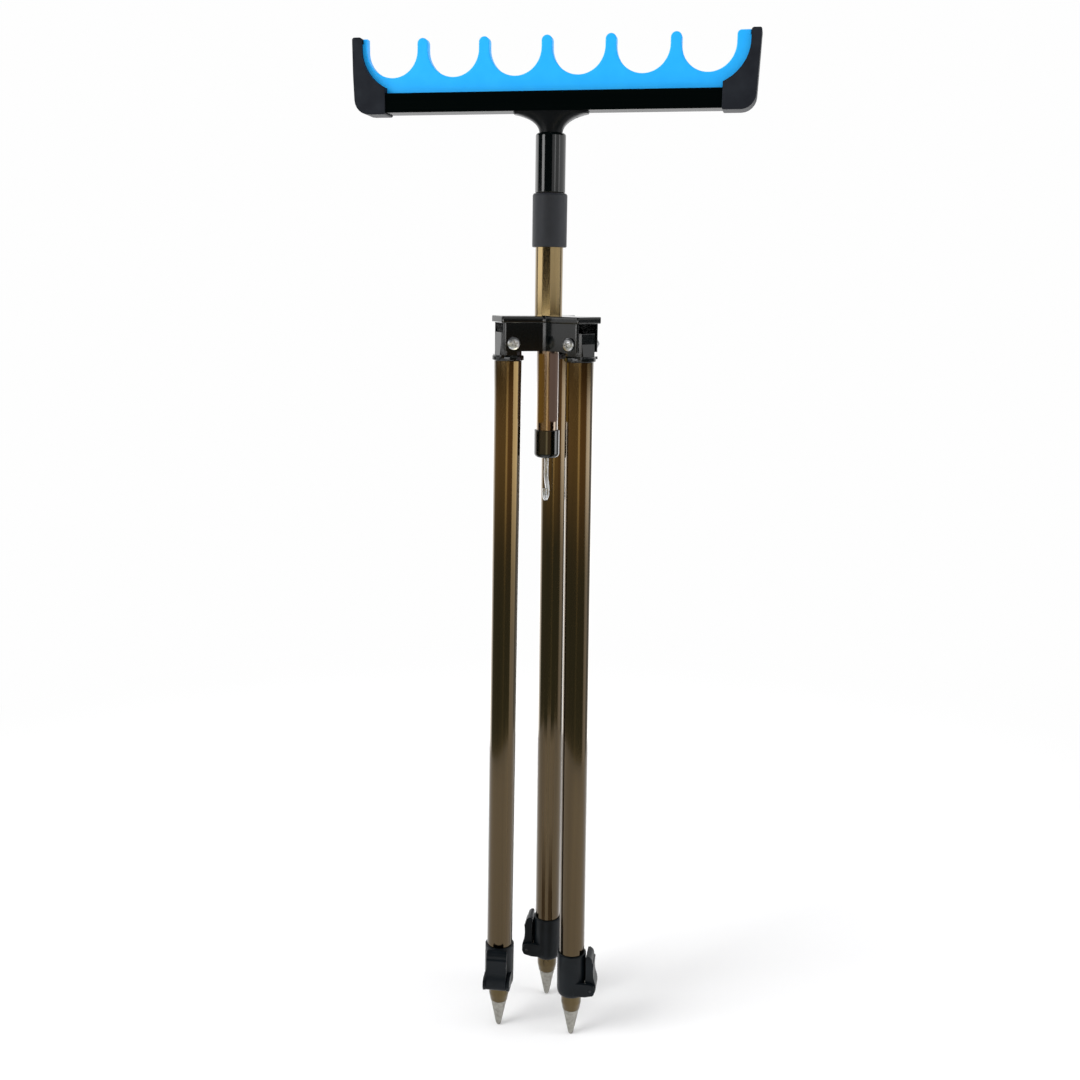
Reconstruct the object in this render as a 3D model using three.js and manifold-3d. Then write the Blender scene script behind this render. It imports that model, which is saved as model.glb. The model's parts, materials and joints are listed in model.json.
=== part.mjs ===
import * as THREE from 'three';
import { mergeVertices } from 'three/addons/utils/BufferGeometryUtils.js';
import Module from 'manifold-3d';

// A surf fishing rod tripod, folded and lowered. Lengths are millimetres and +Z is up.
// The rod bar runs along X, one leg stands at the back (+Y) and two stand at the front.

const wasm = await Module();
wasm.setup();

// Driving sizes of the aluminium tubes
const legTube = 25;
const innerTube = 20;
const columnTube = 25;
const mastTube = 20;
const tubeWall = 1.2;

// Driving heights, from the ground up
const clampTop = 91;
const clampHeight = 45.5;
const pivotHeight = 685;
const hubRise = 24;
const hubHeight = 31;
const columnRise = 60.6;
const collarHeight = 46.7;
const socketHeight = 51;
const neckHeight = 17.9;
const channelHeight = 16.6;
const combWeb = 13.7;

// Driving sizes across the tripod
const pivotRadius = 38;
const footRadius = 43;
const armEnd = 11;
const channelDepth = 21;

// Driving sizes of the rod cups
const cupCount = 6;
const cupPitch = 56.1;
const fingerWidth = 9.6;
const fingerRise = 10;
const combThickness = 9;
const cupShift = -4;
const barMargin = 11.9;

// How far the mast rises and a leg folds out
const mastTravel = 72.5;
const foldAngle = THREE.MathUtils.degToRad(25);

// Clearance between pieces that seat on each other, and the overrun of every cut
const fitGap = 0.3;
const overrun = 3;

// Facets round a tube, a boss and a small pin, and steps along a drawn curve
const tubeFacets = 24;
const bossFacets = 24;
const pinFacets = 14;
const curveSteps = 4;

// Radii that several pieces share
const legRadius = legTube / 2;
const innerRadius = innerTube / 2;
const columnRadius = columnTube / 2;
const mastRadius = mastTube / 2;

// Reaches that follow from the sizes above
const armReach = pivotRadius + armEnd;
const barLength = cupCount * cupPitch + 2 * barMargin;

// Heights that several pieces share
const hubTop = pivotHeight + hubRise;
const hubBottom = hubTop - hubHeight;
const collarBottom = hubTop + columnRise;
const collarTop = collarBottom + collarHeight;
const socketBottom = collarTop + fitGap;
const socketTop = socketBottom + socketHeight;
const channelBottom = socketTop + neckHeight;
const channelTop = channelBottom + channelHeight;
const cupRadius = (cupPitch - fingerWidth) / 2;
const cupBottom = channelTop + combWeb;
const cupCentre = cupBottom + cupRadius;
const combTop = cupCentre + fingerRise;

const tripod = new THREE.Group();

// Finishes
const azurePlastic = { color: 0x24b2ff, roughness: 0.45, metalness: 0 };
const glossBlack = { color: 0x0b0c0e, roughness: 0.18, metalness: 0 };
const satinBlack = { color: 0x26262a, roughness: 0.5, metalness: 0 };
const matteGrey = { color: 0x2d2f39, roughness: 0.75, metalness: 0 };
const clampBlack = { color: 0x1c2024, roughness: 0.55, metalness: 0 };
const bronzeAnodised = { color: 0x6b5433, roughness: 0.3, metalness: 1 };
const brightSteel = { color: 0xc8cacd, roughness: 0.25, metalness: 1 };
const darkSteel = { color: 0x24262a, roughness: 0.4, metalness: 1 };
const castZinc = { color: 0x96968c, roughness: 0.45, metalness: 1 };
const naturalPlastic = { color: 0xd8d4c8, roughness: 0.6, metalness: 0 };

function addPiece(parent, name, geometry, finish) {
  const mesh = new THREE.Mesh(geometry, new THREE.MeshStandardMaterial(finish));
  mesh.name = name;
  parent.add(mesh);
  return mesh;
}

// A solid for cutting and joining, from any closed geometry
function solid(geometry) {
  const bare = geometry.clone();
  bare.deleteAttribute('normal');
  bare.deleteAttribute('uv');
  const merged = mergeVertices(bare);
  const corners = merged.index.array;
  const triangles = [];
  for (let i = 0; i < corners.length; i += 3) {
    const [a, b, c] = [corners[i], corners[i + 1], corners[i + 2]];
    if (a !== b && b !== c && c !== a) triangles.push(a, b, c);
  }
  return new wasm.Manifold(new wasm.Mesh({
    numProp: 3,
    vertProperties: Float32Array.from(merged.attributes.position.array),
    triVerts: Uint32Array.from(triangles),
  }));
}

function geometryOf(body) {
  const mesh = body.getMesh();
  const geometry = new THREE.BufferGeometry();
  geometry.setAttribute('position', new THREE.BufferAttribute(Float32Array.from(mesh.vertProperties), 3));
  geometry.setIndex(new THREE.BufferAttribute(Uint32Array.from(mesh.triVerts), 1));
  geometry.computeVertexNormals();
  return geometry;
}

// Turns a profile of [radius, height] points about the Z axis
function turned(profile, facets = tubeFacets) {
  const points = profile.map(([radius, height]) => new THREE.Vector2(radius, height));
  return new THREE.LatheGeometry(points, facets).rotateX(Math.PI / 2);
}

function ring(outer, inner, bottom, top, facets = tubeFacets) {
  return turned([[inner, bottom], [outer, bottom], [outer, top], [inner, top], [inner, bottom]], facets);
}

function rod(radius, bottom, top, facets = bossFacets) {
  return turned([[0, bottom], [radius, bottom], [radius, top], [0, top]], facets);
}

// Points of a quarter round in a profile, from one angle to another
function arcPoints(centreRadius, centreHeight, radius, from, to, steps = curveSteps) {
  const points = [];
  for (let i = 0; i <= steps; i += 1) {
    const angle = from + ((to - from) * i) / steps;
    points.push([centreRadius + radius * Math.cos(angle), centreHeight + radius * Math.sin(angle)]);
  }
  return points;
}

function block(fromX, toX, fromY, toY, fromZ, toZ) {
  const box = new THREE.BoxGeometry(toX - fromX, toY - fromY, toZ - fromZ);
  return box.translate((fromX + toX) / 2, (fromY + toY) / 2, (fromZ + toZ) / 2);
}

// An outline whose corners are [x, y, rounding]
function roundedShape(corners) {
  const shape = new THREE.Shape();
  corners.forEach(([x, y, rounding], i) => {
    const last = corners[(i + corners.length - 1) % corners.length];
    const next = corners[(i + 1) % corners.length];
    const back = new THREE.Vector2(last[0] - x, last[1] - y).normalize();
    const ahead = new THREE.Vector2(next[0] - x, next[1] - y).normalize();
    const cut = rounding / Math.tan(back.angleTo(ahead) / 2);
    if (i === 0) shape.moveTo(x + back.x * cut, y + back.y * cut);
    else shape.lineTo(x + back.x * cut, y + back.y * cut);
    if (rounding > 0) shape.quadraticCurveTo(x, y, x + ahead.x * cut, y + ahead.y * cut);
  });
  shape.closePath();
  return shape;
}

// A plate of a drawn outline, centred on its thickness, with softened edges if asked
function slab(shape, thickness, edge = 0, curveSegments = curveSteps) {
  const geometry = new THREE.ExtrudeGeometry(shape, {
    depth: thickness - 2 * edge,
    steps: 1,
    curveSegments,
    bevelEnabled: edge > 0,
    bevelSize: edge,
    bevelThickness: edge,
    bevelOffset: -edge,
    bevelSegments: 1,
  });
  return geometry.translate(0, 0, edge - thickness / 2);
}

// Stands a plate up, so that its outline is seen from the front
function upright(geometry) {
  return geometry.rotateX(Math.PI / 2);
}

// Turns a plate so that its outline is a cross-section of something that runs along X
function lengthways(geometry) {
  const across = new THREE.Vector3(0, 1, 0);
  const up = new THREE.Vector3(0, 0, 1);
  const along = new THREE.Vector3(1, 0, 0);
  return geometry.applyMatrix4(new THREE.Matrix4().makeBasis(across, up, along));
}

// Rod channel: an extruded aluminium section with a slot on top that grips the comb
const channelWall = 2;
const channelCorner = 0.8;
const channelRib = 4;
const channelHalf = channelDepth / 2;
const slotHalf = combThickness / 2 + fitGap;
const capWall = 5.5;
const channelEnd = barLength / 2 - capWall;
const screwSpread = 22;
const screwRadius = 1.9;
const screwHeadRadius = 3.6;
const screwLength = 6.4;

function channelSection() {
  const inner = channelHalf - channelWall;
  const ceiling = channelHeight - channelWall;
  const ribTop = channelWall + channelRib;
  const ribOuter = slotHalf + channelWall;
  const half = [
    [channelHalf, 0, channelCorner],
    [channelHalf, channelHeight, channelCorner],
    [slotHalf, channelHeight, 0],
    [slotHalf, ceiling, 0],
    [inner, ceiling, 0],
    [inner, channelWall, 0],
    [ribOuter, channelWall, 0],
    [ribOuter, ribTop, 0],
    [slotHalf, ribTop, 0],
    [slotHalf, channelWall, 0],
  ];
  const mirrored = half.map(([x, y, rounding]) => [-x, y, rounding]).reverse();
  return roundedShape([...half, ...mirrored]);
}

// A countersunk screw, head up, with its head flush at height zero
function countersunk(gap, headRadius, shankRadius, length) {
  const headDepth = channelWall;
  return turned([
    [0, -length - gap],
    [shankRadius + gap, -length - gap],
    [shankRadius + gap, -headDepth],
    [headRadius + gap, gap],
    [0, gap],
  ], pinFacets);
}

const channelLong = lengthways(slab(channelSection(), 2 * channelEnd)).translate(0, 0, channelBottom);
let channelBody = solid(channelLong);
const screwTop = channelBottom + channelWall;
for (const side of [-1, 1]) {
  const hole = countersunk(fitGap / 2, screwHeadRadius, screwRadius, screwLength);
  channelBody = channelBody.subtract(solid(hole.translate(side * screwSpread, 0, screwTop)));
}
addPiece(tripod, 'channel', geometryOf(channelBody), glossBlack);

// Rod comb: one azure moulding with a row of U-shaped cups between rounded fingers
const combEdge = 1.2;
const combEndGap = 0.6;
const combNotch = 4;
const endFingerRound = 3.5;
const capWidth = 8.8;
const combEnd = channelEnd - combEndGap;
const combFoot = channelBottom + channelWall + fitGap;
const notchEnd = barLength / 2 - capWidth - fitGap;

function cupX(index) {
  return cupShift + (index - (cupCount - 1) / 2) * cupPitch;
}

function combOutline() {
  const shape = new THREE.Shape();
  const tipRadius = fingerWidth / 2;
  const tipCentre = combTop - tipRadius;
  const shoulder = combTop - combNotch;
  shape.moveTo(-combEnd, combFoot);
  shape.lineTo(combEnd, combFoot);
  shape.lineTo(combEnd, shoulder);
  shape.lineTo(notchEnd, shoulder);
  shape.lineTo(notchEnd, combTop);
  const lastWall = cupX(cupCount - 1) + cupRadius;
  shape.lineTo(lastWall + endFingerRound, combTop);
  shape.quadraticCurveTo(lastWall, combTop, lastWall, combTop - endFingerRound);
  for (let cup = cupCount - 1; cup >= 0; cup -= 1) {
    const x = cupX(cup);
    shape.lineTo(x + cupRadius, cupCentre);
    shape.absarc(x, cupCentre, cupRadius, 0, -Math.PI, true);
    if (cup > 0) {
      shape.lineTo(x - cupRadius, tipCentre);
      shape.absarc(x - cupPitch / 2, tipCentre, tipRadius, 0, Math.PI, false);
    }
  }
  shape.lineTo(cupX(0) - cupRadius, combTop);
  shape.lineTo(-notchEnd, combTop);
  shape.lineTo(-notchEnd, shoulder);
  shape.lineTo(-combEnd, shoulder);
  shape.closePath();
  return shape;
}

const cupSteps = 8;
addPiece(tripod, 'comb', upright(slab(combOutline(), combThickness, combEdge, cupSteps)), azurePlastic);

// End caps: black mouldings that close the channel and hold the comb down at both ends
const capDepth = 24;
const armDepth = 16;
const capEdge = 1.2;
const capRise = 0.8;
const capDrop = 1.5;
const capLean = 2.8;
const capCorner = 15;
const capFoot = 31;
const capStep = 4.5;
const capSweepRise = 33;
const capSweepTurn = THREE.MathUtils.degToRad(65);
const capTopWall = 2.4;
const capOuter = barLength / 2;
const capInner = capOuter - capFoot;
const capTop = combTop + capRise;
const capBottom = channelBottom - capDrop;

function capOutline() {
  const shape = new THREE.Shape();
  const sweepStart = capOuter - capWidth;
  const sweepFoot = channelTop + fitGap + capStep;
  const sweepX = (sweepStart - capInner) / (1 - Math.cos(capSweepTurn));
  const sweepZ = capSweepRise / Math.sin(capSweepTurn);
  shape.moveTo(capInner, capBottom);
  shape.lineTo(capOuter - capLean - capCorner, capBottom);
  shape.quadraticCurveTo(capOuter - capLean, capBottom, capOuter - capLean, capBottom + capCorner);
  shape.lineTo(capOuter, capTop);
  shape.lineTo(sweepStart, capTop);
  shape.lineTo(sweepStart, sweepFoot + capSweepRise);
  shape.absellipse(sweepStart - sweepX, sweepFoot + capSweepRise, sweepX, sweepZ, 0, -capSweepTurn, true);
  shape.closePath();
  return shape;
}

// The cap seen along the bar: full depth round the channel, and drawn in above it
function capSection() {
  const shoulder = channelTop + fitGap + capStep;
  return roundedShape([
    [-capDepth / 2, capBottom - overrun, 0],
    [capDepth / 2, capBottom - overrun, 0],
    [capDepth / 2, shoulder, capDepth / 2],
    [armDepth / 2, capTop + overrun, 0],
    [-armDepth / 2, capTop + overrun, 0],
    [-capDepth / 2, shoulder, capDepth / 2],
  ]);
}

function capGeometry() {
  const pocketHalf = channelHalf + fitGap;
  const pocket = block(capInner - overrun, channelEnd + fitGap, -pocketHalf, pocketHalf,
    channelBottom - fitGap, channelTop + fitGap);
  const slotTop = Math.min(combTop - combNotch + fitGap, capTop - capTopWall);
  const slot = block(capInner - overrun, channelEnd + fitGap, -slotHalf, slotHalf, channelBottom, slotTop);
  const blank = solid(upright(slab(capOutline(), capDepth, capEdge, curveSteps * 2)));
  const taper = solid(lengthways(slab(capSection(), 2 * barLength)));
  const shell = blank.intersect(taper);
  return geometryOf(shell.subtract(solid(pocket)).subtract(solid(slot)));
}

addPiece(tripod, 'end_cap_right', capGeometry(), satinBlack);
addPiece(tripod, 'end_cap_left', capGeometry().rotateZ(Math.PI), satinBlack);

// Neck: a saddle under the channel that flares down to a round spigot
const saddleHalf = 33.5;
const saddleDepthHalf = 10.2;
const saddlePlate = 0.6;
const saddleSweep = 38;
const neckRadius = 10.3;
const spigotRadius = mastRadius;
const spigotLength = 24;
const neckRings = 10;
const squareShare = 4;
const roundShare = 2;

// One ring of the neck: a superellipse that turns from a rounded oblong into a circle
function neckRing(halfX, halfY, power, height) {
  const points = [];
  for (let i = 0; i < bossFacets; i += 1) {
    const angle = (2 * Math.PI * i) / bossFacets;
    const [c, s] = [Math.cos(angle), Math.sin(angle)];
    const x = halfX * Math.sign(c) * Math.abs(c) ** (2 / power);
    const y = halfY * Math.sign(s) * Math.abs(s) ** (2 / power);
    points.push(new THREE.Vector3(x, y, height));
  }
  return points;
}

// A closed skin over rings of equal count, listed from the bottom up
function loft(rings) {
  const count = rings[0].length;
  const positions = [];
  const index = [];
  for (const points of rings) {
    for (const point of points) positions.push(point.x, point.y, point.z);
  }
  for (let level = 0; level < rings.length - 1; level += 1) {
    for (let i = 0; i < count; i += 1) {
      const low = level * count + i;
      const lowNext = level * count + ((i + 1) % count);
      index.push(low, lowNext, lowNext + count, low, lowNext + count, low + count);
    }
  }
  const top = (rings.length - 1) * count;
  for (let i = 1; i < count - 1; i += 1) {
    index.push(0, i + 1, i);
    index.push(top, top + i, top + i + 1);
  }
  const geometry = new THREE.BufferGeometry();
  geometry.setAttribute('position', new THREE.BufferAttribute(Float32Array.from(positions), 3));
  geometry.setIndex(index);
  geometry.computeVertexNormals();
  return geometry;
}

function neckGeometry() {
  const foot = socketTop + fitGap;
  const plateFoot = channelBottom - saddlePlate;
  const rings = [];
  for (let level = 0; level < neckRings; level += 1) {
    const t = level / (neckRings - 1);
    const ease = Math.sin((t * Math.PI) / 2);
    const spread = 1 - Math.sqrt(Math.max(0, 1 - ease * ease));
    const halfX = Math.min(saddleHalf, neckRadius + saddleSweep * spread);
    const halfY = neckRadius + (saddleDepthHalf - neckRadius) * t;
    const power = roundShare + (squareShare - roundShare) * t;
    rings.push(neckRing(halfX, halfY, power, foot + (plateFoot - foot) * ease));
  }
  rings.push(neckRing(saddleHalf, saddleDepthHalf, squareShare, channelBottom));
  const spigot = rod(spigotRadius, foot - spigotLength, foot + neckHeight / 2);
  let body = solid(loft(rings)).add(solid(spigot));
  for (const side of [-1, 1]) {
    const holeFoot = screwTop - screwLength - fitGap;
    const hole = rod(screwRadius + fitGap / 2, holeFoot, channelBottom + overrun, pinFacets);
    body = body.subtract(solid(hole.translate(side * screwSpread, 0, 0)));
  }
  return geometryOf(body);
}

addPiece(tripod, 'neck', neckGeometry(), satinBlack);
for (const [side, name] of [[-1, 'neck_screw_left'], [1, 'neck_screw_right']]) {
  const screw = countersunk(0, screwHeadRadius, screwRadius, screwLength);
  addPiece(tripod, name, screw, brightSteel).position.set(side * screwSpread, 0, screwTop);
}

// Socket: a gloss black sleeve that joins the neck's spigot to the top of the mast
const socketRadius = 13.4;
const socketShoulder = 2.6;
const socketLip = 0.6;

function socketGeometry() {
  const bore = mastRadius + fitGap;
  const shoulder = arcPoints(socketRadius - socketShoulder, socketTop - socketShoulder, socketShoulder,
    0, Math.PI / 2);
  return turned([
    [bore, socketBottom],
    [socketRadius - socketLip, socketBottom],
    [socketRadius, socketBottom + socketLip],
    ...shoulder,
    [bore, socketTop],
    [bore, socketBottom],
  ]);
}

addPiece(tripod, 'socket', socketGeometry(), glossBlack);

// Mast: the thin tube that slides through the column and carries the rod bar
const capRadius = 11.75;
const bottomCapHeight = 25.7;
const bottomCapFloor = 7;
const bottomCapRound = 4;
const bottomCapTop = hubBottom - mastTravel - fitGap;
const bottomCapFoot = bottomCapTop - bottomCapHeight;
const mastBottom = bottomCapFoot + bottomCapFloor + fitGap;
const mastTop = socketTop - spigotLength - fitGap;
const mastBore = mastRadius - tubeWall;
addPiece(tripod, 'mast_tube', ring(mastRadius, mastBore, mastBottom, mastTop), bronzeAnodised);

// Bottom cap: the black cup on the mast's lower end, which stops the mast under the hub
const hookWire = 4;
const hookRadius = hookWire / 2;

function bottomCapGeometry() {
  const cup = mastRadius + fitGap;
  const stemHole = hookRadius + fitGap;
  const floorTop = bottomCapFoot + bottomCapFloor;
  return turned([
    [stemHole, bottomCapFoot],
    ...arcPoints(capRadius - bottomCapRound, bottomCapFoot + bottomCapRound, bottomCapRound, -Math.PI / 2, 0),
    [capRadius, bottomCapTop],
    [cup, bottomCapTop],
    [cup, floorTop],
    [stemHole, floorTop],
    [stemHole, bottomCapFoot],
  ]);
}

addPiece(tripod, 'bottom_cap', bottomCapGeometry(), glossBlack);

// Ballast hook: a bent steel wire that swivels in the bottom cap, held by a nut inside it
const hookDrop = 41;
const hookBend = 7;
const hookTipRise = 3.5;
const hookBendSteps = 7;
const hookSteps = 32;
const hookFacets = 6;
const nutFlats = 7;
const nutHeight = 3.2;
const nutSeat = bottomCapFoot + bottomCapFloor + fitGap;
const stemTop = nutSeat + nutHeight;

function hookCurve() {
  const centre = bottomCapFoot - hookDrop + hookRadius + hookBend;
  const points = [new THREE.Vector3(0, 0, stemTop)];
  points.push(new THREE.Vector3(0, 0, bottomCapFoot - hookRadius));
  points.push(new THREE.Vector3(0, 0, centre + 2 * hookBend));
  for (let i = 0; i <= hookBendSteps; i += 1) {
    const angle = Math.PI / 6 - (i * (Math.PI * 7)) / 6 / hookBendSteps;
    points.push(new THREE.Vector3(0, hookBend * Math.cos(angle), centre + hookBend * Math.sin(angle)));
  }
  points.push(new THREE.Vector3(0, -hookBend, centre + hookTipRise));
  return new THREE.CatmullRomCurve3(points, false, 'centripetal');
}

function hookGeometry() {
  const section = new THREE.Shape();
  section.absarc(0, 0, hookRadius, 0, 2 * Math.PI, false);
  return new THREE.ExtrudeGeometry(section, {
    steps: hookSteps,
    curveSegments: hookFacets,
    extrudePath: hookCurve(),
  });
}

addPiece(tripod, 'hook', hookGeometry(), brightSteel);

function hexNut(flats, height, bore) {
  const acrossCorners = flats / Math.cos(Math.PI / 6);
  const body = solid(rod(acrossCorners / 2, 0, height, 6));
  return geometryOf(body.subtract(solid(rod(bore, -overrun, height + overrun, pinFacets))));
}

addPiece(tripod, 'hook_nut', hexNut(nutFlats, nutHeight, hookRadius + fitGap), brightSteel)
  .position.set(0, 0, nutSeat);

// Column tube: the thick tube fixed in the hub, with the twist lock on its top
const columnInCollar = 18.4;
const columnTop = collarBottom + columnInCollar;
const columnBore = columnRadius - tubeWall;
addPiece(tripod, 'column_tube', ring(columnRadius, columnBore, hubBottom, columnTop), bronzeAnodised);

// Guide bush: a plastic ring in the column's lower end that keeps the mast central
const bushLength = 16;
const bushRise = 1;
const bushFoot = hubBottom + bushRise;
const guideBush = ring(columnBore - fitGap / 2, mastRadius + fitGap, bushFoot, bushFoot + bushLength);
addPiece(tripod, 'guide_bush', guideBush, naturalPlastic);

// Twist lock: a threaded sleeve on the column, a split collet round the mast and a grip collar
const sleeveWall = 1.1;
const sleeveMargin = 1.5;
const colletRadius = 13.3;
const colletTopRadius = 11.4;
const collarRoof = 4;
const colletSlit = 2;
const sleeveInner = columnRadius + fitGap / 2;
const sleeveOuter = sleeveInner + sleeveWall;
const sleeveFoot = collarBottom + sleeveMargin;
const colletFoot = columnTop + fitGap;
const colletTop = collarTop - collarRoof;
const sleeve = ring(sleeveOuter, sleeveInner, sleeveFoot, columnTop);
addPiece(tripod, 'column_sleeve', sleeve, naturalPlastic);

function colletGeometry() {
  const bore = mastRadius + fitGap;
  const cone = turned([
    [bore, colletFoot],
    [colletRadius, colletFoot],
    [colletTopRadius, colletTop],
    [bore, colletTop],
    [bore, colletFoot],
  ]);
  const slit = block(-colletSlit / 2, colletSlit / 2, 0, colletRadius + overrun,
    colletFoot - overrun, colletTop + overrun);
  return geometryOf(solid(cone).subtract(solid(slit)));
}

addPiece(tripod, 'collet', colletGeometry(), naturalPlastic);

const collarRadius = 15.5;
const collarShoulder = 2.4;
const collarEdge = 0.8;

function collarGeometry() {
  const bore = sleeveOuter + fitGap;
  const lip = mastRadius + fitGap;
  return turned([
    [bore, collarBottom],
    [collarRadius - collarEdge, collarBottom],
    [collarRadius, collarBottom + collarEdge],
    ...arcPoints(collarRadius - collarShoulder, collarTop - collarShoulder, collarShoulder, 0, Math.PI / 2),
    [lip, collarTop],
    [lip, colletTop + fitGap],
    [colletTopRadius + fitGap, colletTop + fitGap],
    [colletRadius + fitGap, colletFoot],
    [bore, colletFoot],
    [bore, collarBottom],
  ]);
}

addPiece(tripod, 'twist_collar', collarGeometry(), matteGrey);

// Hub: a three-armed moulding, open below and at the arm ends, in which the legs pivot
const hubWall = 3;
const hubLip = 1;
const hubEndLip = 2.5;
const hubLipHeight = 6;
const hubLipEdge = 0.8;
const armEndRound = 1.5;
const crookRound = 4;
const lugRound = 13;
const lugClearance = 3;
const cavityStart = pivotRadius - lugRound - lugClearance;
const ribSpread = 5;
const ribThickness = 1.6;
const boltRadius = 3;
const setScrewRadius = 2;
const setScrewDrop = 17;
const plateHalf = legRadius + hubWall;
const lipHalf = plateHalf + hubLip;
const armAngles = [90, 210, 330].map(THREE.MathUtils.degToRad);

// Leg fitting sizes, which also set how deep the stop ribs in the hub are
const lugHalf = 9.5;
const lugTop = 9.5;
const legLean = Math.asin((footRadius - pivotRadius) / pivotHeight);
const stopAngle = foldAngle + legLean;
const ribFoot = pivotHeight + lugHalf * Math.sin(stopAngle) + lugTop * Math.cos(stopAngle) + fitGap;

// The hub seen from above: three arms at equal angles with rounded crooks between them
function starShape(half, reach) {
  const corners = [];
  const crook = half / Math.sin(Math.PI / 3);
  for (const angle of armAngles) {
    const [c, s] = [Math.cos(angle), Math.sin(angle)];
    corners.push([reach * c + half * s, reach * s - half * c, armEndRound]);
    corners.push([reach * c - half * s, reach * s + half * c, armEndRound]);
    const between = angle + Math.PI / 3;
    corners.push([crook * Math.cos(between), crook * Math.sin(between), crookRound]);
  }
  return roundedShape(corners);
}

function hubGeometry() {
  const lipFoot = hubTop - hubLipHeight;
  const skirtHeight = hubHeight - hubLipHeight / 2;
  const skirt = slab(starShape(plateHalf, armReach - hubEndLip), skirtHeight);
  const lid = slab(starShape(lipHalf, armReach), hubLipHeight, hubLipEdge);
  let body = solid(skirt.translate(0, 0, hubBottom + skirtHeight / 2));
  body = body.add(solid(lid.translate(0, 0, hubTop - hubLipHeight / 2)));
  const bore = rod(columnRadius + fitGap / 2, hubBottom - overrun, hubTop + overrun, tubeFacets);
  body = body.subtract(solid(bore));
  for (const angle of armAngles) {
    const cavity = block(cavityStart, armReach + overrun, -legRadius, legRadius,
      hubBottom - overrun, lipFoot);
    body = body.subtract(solid(cavity.rotateZ(angle)));
    for (const side of [-1, 1]) {
      const middle = side * ribSpread;
      const rib = block(cavityStart - hubWall, armReach - hubEndLip - hubWall, middle - ribThickness / 2,
        middle + ribThickness / 2, ribFoot, lipFoot + hubWall / 2);
      body = body.add(solid(rib.rotateZ(angle)));
    }
    const hole = rod(boltRadius + fitGap, -lipHalf - overrun, lipHalf + overrun, pinFacets);
    const drilled = hole.rotateX(Math.PI / 2).translate(pivotRadius, 0, pivotHeight);
    body = body.subtract(solid(drilled.rotateZ(angle)));
  }
  const holeRadius = setScrewRadius + fitGap / 2;
  const screwHole = rod(holeRadius, columnRadius - overrun, cavityStart + overrun, pinFacets);
  const placed = screwHole.rotateY(Math.PI / 2).translate(0, 0, hubTop - setScrewDrop);
  return geometryOf(body.subtract(solid(placed.rotateZ(armAngles[0]))));
}

addPiece(tripod, 'hub', hubGeometry(), glossBlack);

const setScrew = rod(setScrewRadius, columnRadius + fitGap / 2, cavityStart, pinFacets).rotateY(Math.PI / 2);
addPiece(tripod, 'column_set_screw', setScrew.rotateZ(armAngles[0]), brightSteel)
  .position.set(0, 0, hubTop - setScrewDrop);

// Leg fitting: the black moulding plugged into a leg's top, with the lug that turns in the hub
const flangeDrop = 10.8;
const flangeHeight = 4.7;
const flangeRadius = 14.3;
const flangeEdge = 1.5;
const plugLength = 25;
const lugSpread = 1;
const lugCorner = 0.8;
const lugHeel = 4;
const tubeDrop = flangeDrop + flangeHeight;
const legBore = legRadius - tubeWall;

function fittingGeometry() {
  const lugFoot = -flangeDrop - flangeHeight / 2;
  const lugShape = roundedShape([
    [-lugHalf - lugSpread, lugFoot, 0],
    [lugHalf + lugSpread, lugFoot, 0],
    [lugHalf, 0, lugHeel],
    [lugHalf, lugTop, lugCorner],
    [-lugHalf, lugTop, lugHeel],
    [-lugHalf, 0, lugHeel],
  ]);
  const lug = solid(upright(slab(lugShape, legTube - 2 * fitGap)));
  const barrel = solid(rod(lugRound, lugFoot - overrun, lugTop + overrun, tubeFacets));
  const flange = turned([
    [0, -tubeDrop],
    [flangeRadius, -tubeDrop],
    ...arcPoints(flangeRadius - flangeEdge, -flangeDrop - flangeEdge, flangeEdge, 0, Math.PI / 2, 4),
    [0, -flangeDrop],
  ]);
  const plug = rod(legBore - fitGap, -tubeDrop - plugLength, -tubeDrop + flangeHeight / 2, tubeFacets);
  const hole = rod(boltRadius + fitGap, -lugRound - overrun, lugRound + overrun, pinFacets);
  let body = lug.intersect(barrel).add(solid(flange)).add(solid(plug));
  body = body.subtract(solid(hole.rotateX(Math.PI / 2)));
  return geometryOf(body);
}

// Pivot bolt and nut: a pan head on one side of the arm and a hexagon nut on the other
const boltHeadRadius = 5.8;
const boltHeadEdge = 1.2;
const boltHeadDome = 2.4;
const boltNutFlats = 10;
const boltNutHeight = 5;
const boltSeat = plateHalf + fitGap;

function boltGeometry() {
  const end = -boltSeat - boltNutHeight;
  const dome = arcPoints(0, 0, boltHeadRadius, 0, Math.PI / 2).map(([radius, rise]) => [
    radius,
    boltSeat + boltHeadEdge + (rise * boltHeadDome) / boltHeadRadius,
  ]);
  dome.pop();
  return turned([
    [0, end],
    [boltRadius, end],
    [boltRadius, boltSeat],
    [boltHeadRadius, boltSeat],
    ...dome,
    [0, boltSeat + boltHeadEdge + boltHeadDome],
  ], pinFacets);
}

// Outer leg tube: from the fitting's flange down into the clamp housing
const housingRadius = 14.25;
const housingFootRadius = 11.6;
const housingTaper = 7;
const housingEdge = 1;
const tubeSeat = 25.5;
const windowHalf = 4.3;
const windowHeight = 12;
const clampFoot = clampTop - clampHeight;
const outerTubeFoot = clampFoot + tubeSeat + fitGap;

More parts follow.
